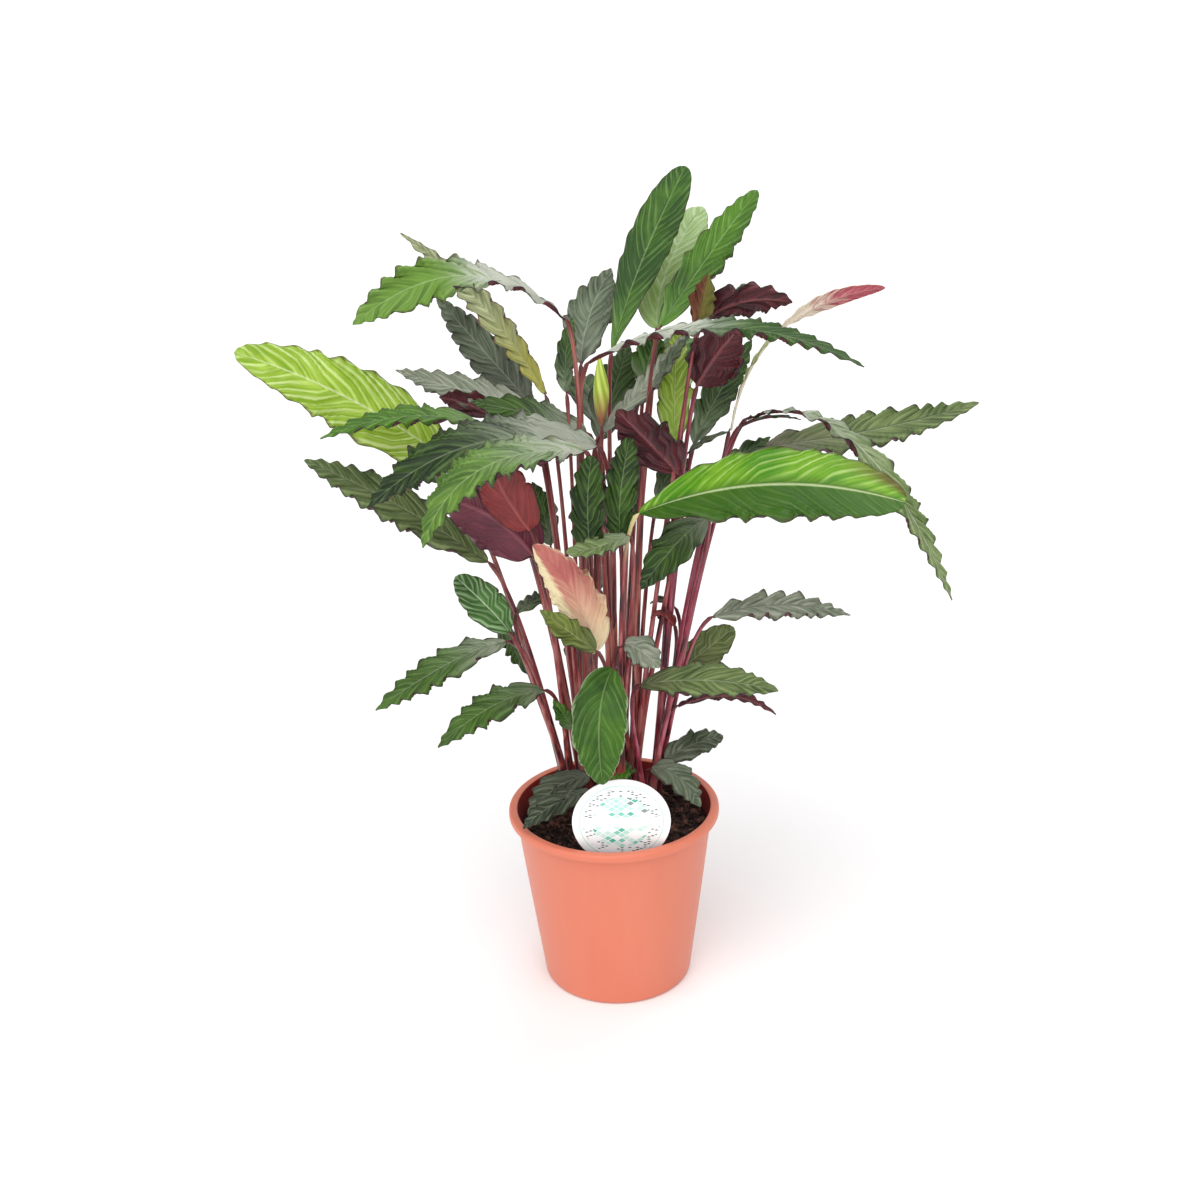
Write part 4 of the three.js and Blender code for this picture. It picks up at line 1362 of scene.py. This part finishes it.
def spun(profile, sides):
    """A profile of radius and height points in mm, turned round the upright axis."""
    bm = bmesh.new()
    corners = [bm.verts.new((radius * MM, 0, height * MM)) for radius, height in profile]
    edges = [bm.edges.new(pair) for pair in zip(corners, corners[1:])]
    bmesh.ops.spin(
        bm,
        geom=corners + edges,
        cent=(0, 0, 0),
        axis=(0, 0, 1),
        angle=math.tau,
        steps=sides,
        use_merge=True,
    )
    bmesh.ops.remove_doubles(bm, verts=bm.verts, dist=1e-7)
    bmesh.ops.recalc_face_normals(bm, faces=bm.faces)
    return bm


def add_pot(plastic, inner_shade):
    """The nursery pot: one thin shell with a rolled lip, drainage holes through its floor, and
    an inner wall with painted shade."""
    lip_base = POT_HEIGHT - LIP_HEIGHT
    inner_top = wall_radius(POT_HEIGHT) - POT_WALL
    edge, fillet, lower = BASE_EDGE_RADIUS, LIP_FILLET, LIP_LOWER_ROUNDING
    outer, inner = LIP_OUTER_ROUNDING, LIP_INNER_ROUNDING

    # Out along the base, up the wall, over the lip, and down inside to the floor
    profile = [
        (0, 0),
        (DRAIN_RING + 2 * DRAIN_RADIUS, 0),
        *arc((POT_BASE_RADIUS - edge, edge), edge, -90, -8, 6),
        (wall_radius(lip_base / 2), lip_base / 2),
        *arc((wall_radius(lip_base - fillet) + fillet, lip_base - fillet), fillet, 175, 95, 4),
        *arc((POT_RIM_RADIUS - lower, lip_base + lower), lower, -90, 0, 5),
        *arc((POT_RIM_RADIUS - outer, POT_HEIGHT - outer), outer, 0, 90, 7),
        *arc((inner_top + inner, POT_HEIGHT - inner), inner, 90, 180, 5),
        (wall_radius(lip_base) - POT_WALL, lip_base),
        (wall_radius(POT_HEIGHT / 2) - POT_WALL, POT_HEIGHT / 2),
        (wall_radius(POT_FLOOR + FLOOR_CORNER) - POT_WALL, POT_FLOOR + FLOOR_CORNER),
        (wall_radius(POT_FLOOR) - POT_WALL - FLOOR_CORNER, POT_FLOOR),
        (DRAIN_RING + 2 * DRAIN_RADIUS, POT_FLOOR),
        (0, POT_FLOOR),
    ]
    mesh = mesh_from(spun(profile, POT_SIDES), "nursery_pot_shell")
    made = add_piece("nursery_pot_shell", mesh, [plastic, inner_shade], "pot_plastic", "nursery_pot")

    bm = bmesh.new()
    for hole in range(DRAIN_HOLES):
        angle = math.tau * hole / DRAIN_HOLES
        place = Vector((math.cos(angle), math.sin(angle), 0)) * DRAIN_RING * MM
        bmesh.ops.create_cone(
            bm,
            cap_ends=True,
            segments=32,
            radius1=DRAIN_RADIUS * MM,
            radius2=DRAIN_RADIUS * MM,
            depth=4 * POT_FLOOR * MM,
            matrix=Matrix.Translation(place),
        )
    drills = bpy.data.objects.new("drills", mesh_from(bm, "drills"))
    bpy.context.scene.collection.objects.link(drills)
    cut = made.modifiers.new("drainage", "BOOLEAN")
    cut.operation = "DIFFERENCE"
    cut.solver = "EXACT"
    cut.object = drills
    evaluated = made.evaluated_get(bpy.context.evaluated_depsgraph_get())
    made.data = bpy.data.meshes.new_from_object(evaluated)
    made.modifiers.clear()
    bpy.data.objects.remove(drills)

    # The inner wall's upper half takes the finish with painted shade
    for face in made.data.polygons:
        outward = face.normal.x * face.center.x + face.normal.y * face.center.y
        inside = outward < -0.8 * face.center.xy.length
        face.material_index = int(inside and face.center.z > POT_HEIGHT / 2 * MM)
    return made


def mix_height(x, y):
    """The height of the potting mix's lumpy surface at a place in millimetres."""
    radius = math.hypot(x, y)
    slope = (radius - POT_BASE_RADIUS) / (wall_radius(MIX_EDGE_HEIGHT) - POT_BASE_RADIUS)
    level = MIX_TOP_HEIGHT - min(1, max(0, slope)) * (MIX_TOP_HEIGHT - MIX_EDGE_HEIGHT)
    wide, narrow = LUMP_WIDTHS
    broad = noise.noise(Vector((x / wide, y / wide, SEED)))
    small = noise.noise(Vector((x / narrow, y / narrow, SEED + 5)))
    return level + MIX_LUMP * (broad + 0.6 * small)


def add_mix(peat, crumbs, fibre):
    """The potting mix: its body with a lumpy surface, loose crumbs and bark fibres on top."""
    chance = np.random.default_rng([SEED, 1])
    floor = POT_FLOOR + FIT_GAP
    inner = wall_radius(MIX_EDGE_HEIGHT) - POT_WALL - FIT_GAP
    rings = [(inner * step / 48, MIX_TOP_HEIGHT) for step in range(48, -1, -1)]
    low = wall_radius(floor) - POT_WALL - FIT_GAP - FLOOR_CORNER
    profile = [(0, floor), (low, floor), *rings]
    bm = spun(profile, POT_SIDES)
    for corner in bm.verts:
        if corner.co.z > 0.5 * MIX_TOP_HEIGHT * MM:
            corner.co.z = mix_height(corner.co.x / MM, corner.co.y / MM) * MM
    body = mesh_from(bm, "potting_mix_body")
    add_piece("potting_mix_body", body, [peat], "potting_mix", "potting_mix")

    bm = bmesh.new()
    for _ in range(CRUMBS):
        radius = (inner - 2) * math.sqrt(chance.uniform(0.02, 1))
        angle = chance.uniform(0, math.tau)
        x, y = radius * math.cos(angle), radius * math.sin(angle)
        size = chance.uniform(*CRUMB_SIZES) + BIG_CRUMB * chance.uniform() ** 5
        place = Matrix.Translation(Vector((x, y, mix_height(x, y) + 0.3 * size)) * MM)
        turn = Matrix.Rotation(chance.uniform(0, math.tau), 4, Vector(chance.normal(size=3)))
        stretch = Matrix.Diagonal((*(size * chance.uniform(0.6, 1.3, 3) * MM), 1))
        lump = bmesh.ops.create_icosphere(bm, subdivisions=1, radius=1, matrix=place @ turn @ stretch)
        for corner in lump["verts"]:
            corner.co += Vector(chance.normal(size=3)) * 0.12 * size * MM
    add_piece("peat_crumbs", mesh_from(bm, "peat_crumbs"), [crumbs], "potting_mix")

    bm = bmesh.new()
    for _ in range(FIBRES):
        radius = (inner - 6) * math.sqrt(chance.uniform(0.1, 1))
        angle = chance.uniform(0, math.tau)
        x, y = radius * math.cos(angle), radius * math.sin(angle)
        place = Matrix.Translation(Vector((x, y, mix_height(x, y) + 1.2)) * MM)
        turn = Matrix.Rotation(chance.uniform(0, math.tau), 4, "Z")
        tilt = Matrix.Rotation(math.radians(90 + chance.uniform(-18, 18)), 4, "X")
        bmesh.ops.create_cone(
            bm,
            cap_ends=True,
            segments=6,
            radius1=chance.uniform(*FIBRE_RADII) * MM,
            radius2=0.2 * MM,
            depth=chance.uniform(*FIBRE_LENGTHS) * MM,
            matrix=place @ turn @ tilt,
        )
    return add_piece("bark_fibres", mesh_from(bm, "bark_fibres"), [fibre], "potting_mix")


def add_crown(bark):
    """The root crown: knobs of rhizome bunched round the shoots' feet."""
    chance = np.random.default_rng([SEED, 2])
    feet = list(SHOOTS.values())
    bm = bmesh.new()
    for knob in range(CROWN_KNOBS):
        foot = feet[knob % len(feet)]
        radius = chance.uniform(*KNOB_RADII)
        x, y = np.array(foot) + chance.normal(0, KNOB_SPREAD, 2)
        z = min(MIX_TOP_HEIGHT + 1.5, CROWN_TOP + 2 - radius)
        place = Matrix.Translation(Vector((x, y, z)) * MM)
        stretch = Matrix.Diagonal((*(radius * np.array((1.1, 1, 0.9)) * MM), 1))
        lump = bmesh.ops.create_icosphere(bm, subdivisions=3, radius=1, matrix=place @ stretch)
        for corner in lump["verts"]:
            rough = noise.noise(corner.co / (2.6 * MM))
            corner.co += (corner.co - place.translation) * 0.16 * rough
    return add_piece("crown_knobs", mesh_from(bm, "crown_knobs"), [bark], "root_crown", "root_crown")


def add_label(vinyl, print_finish):
    """The plant label: a disc and its pointed stake in one sheet, printed on its front."""
    radius = LABEL_DIAMETER / 2
    half = STAKE_WIDTH / 2
    neck = math.degrees(math.asin(half / radius))
    point = -radius - STAKE_LENGTH
    outline_points = arc((0, 0), radius, -90 + neck, 270 - neck, 120)
    outline_points += [(-half, point + STAKE_WIDTH), (0, point), (half, point + STAKE_WIDTH)]
    bm = bmesh.new()
    corners = [bm.verts.new((x * MM, y * MM, -LABEL_THICKNESS / 2 * MM)) for x, y in outline_points]
    sheet = bm.faces.new(corners)
    raised = bmesh.ops.extrude_face_region(bm, geom=[sheet])
    lifted = [part for part in raised["geom"] if isinstance(part, bmesh.types.BMVert)]
    bmesh.ops.translate(bm, verts=lifted, vec=(0, 0, LABEL_THICKNESS * MM))
    bmesh.ops.recalc_face_normals(bm, faces=bm.faces)
    rims = [edge for edge in bm.edges if len(edge.link_faces) == 2 and edge.calc_face_angle() > 1]
    bmesh.ops.bevel(
        bm,
        geom=rims,
        offset=LABEL_EDGE * MM,
        affect="EDGES",
        segments=2,
        profile=0.5,
        material=-1,
    )
    for face in bm.faces:
        face.material_index = 1 if face.normal.z > 0.9 else 0
    lean = Matrix.Rotation(math.radians(90 + LABEL_LEAN), 4, "X")
    bmesh.ops.transform(bm, matrix=Matrix.Translation(Vector(LABEL_CENTRE) * MM) @ lean, verts=bm.verts)
    mesh = mesh_from(bm, "label_sheet")
    made = add_piece("label_sheet", mesh, [vinyl, print_finish], "label_plastic", "plant_label")
    mesh.set_sharp_from_angle(angle=math.radians(35))
    return made


def add_sun(name, direction, spread, power):
    """A softbox far away in a direction from the plant, spread degrees wide."""
    lamp = bpy.data.lights.new(name, "SUN")
    lamp.angle = math.radians(spread)
    lamp.energy = power
    made = bpy.data.objects.new(name, lamp)
    made.rotation_euler = Vector(direction).to_track_quat("Z", "Y").to_euler()
    bpy.context.scene.collection.objects.link(made)


def add_studio():
    """The camera at the photograph's angle, soft lights, a pale world and a pale floor."""
    lens = bpy.data.cameras.new("camera")
    lens.sensor_width = SENSOR_WIDTH
    lens.lens = SENSOR_WIDTH * FOCAL_PIXELS / PICTURE_PIXELS
    lens.clip_end = 100
    camera = bpy.data.objects.new("camera", lens)
    pitch = Matrix.Rotation(math.radians(90 - CAMERA_PITCH), 4, "X")
    roll = Matrix.Rotation(math.radians(CAMERA_ROLL), 4, "Z")
    camera.matrix_world = Matrix.Translation(Vector(CAMERA_PLACE) * MM) @ pitch @ roll
    bpy.context.scene.collection.objects.link(camera)
    bpy.context.scene.camera = camera
    bpy.context.scene.view_settings.view_transform = "Standard"
    world = bpy.data.worlds.new("studio")
    world.use_nodes = True
    background = world.node_tree.nodes["Background"]
    background.inputs["Color"].default_value = (1, 1, 1, 1)
    background.inputs["Strength"].default_value = WORLD_LIGHT
    bpy.context.scene.world = world
    for name, (direction, spread, power) in SOFTBOXES.items():
        add_sun(name, direction, spread, power)
    bm = bmesh.new()
    bmesh.ops.create_grid(bm, x_segments=8, y_segments=8, size=FLOOR_REACH * MM)
    floor = bpy.data.objects.new("floor", mesh_from(bm, "floor"))
    floor.data.materials.append(matte_board())
    bpy.context.scene.collection.objects.link(floor)


add_studio()

uppers = {
    name: leaf_upper(f"{name}_velvet_leaf", *colours, **UPPER_TRAITS.get(name, {}))
    for name, colours in UPPER_SIDES.items()
}
unders = {
    name: leaf_under(f"{name}_underside", *colours, **UNDER_TRAITS.get(name, {}))
    for name, colours in UNDERSIDES.items()
}
skin = stalk_skin()

for shoot, foot in SHOOTS.items():
    rows = [*LEAVES.values(), *YOUNG_LEAVES.values(), ROLLED_LEAF]
    rows = [row for row in rows if row[0] == shoot]
    add_shoot(shoot, foot, rows, skin)
for name, row in {**LEAVES, **YOUNG_LEAVES}.items():
    upper = uppers[OWN_UPPERS.get(name, row[-1])]
    under = unders[OWN_UNDERS.get(name, "maroon")]
    nodes = [f"leaf_{name}"] if name in LEAVES else []
    add_leaf(name, row, [upper, under], *nodes)
add_rolled_leaf(rolled_blade())

add_pot(moulded_polypropylene(), painted_shade_polypropylene())
add_mix(
    damp_peat("damp_peat", "#120c0b", "#46302a", 3.85),
    damp_peat("peat_crumbs", "#201613", "#7a5446", 8.33),
    damp_peat("bark_fibres", "#4a3626", "#8a6c50", 11.1),
)
add_crown(damp_peat("rhizome_bark", "#24140f", "#5c3a2c", 6.25))
add_label(white_vinyl(), printed_vinyl())

bpy.context.view_layer.update()
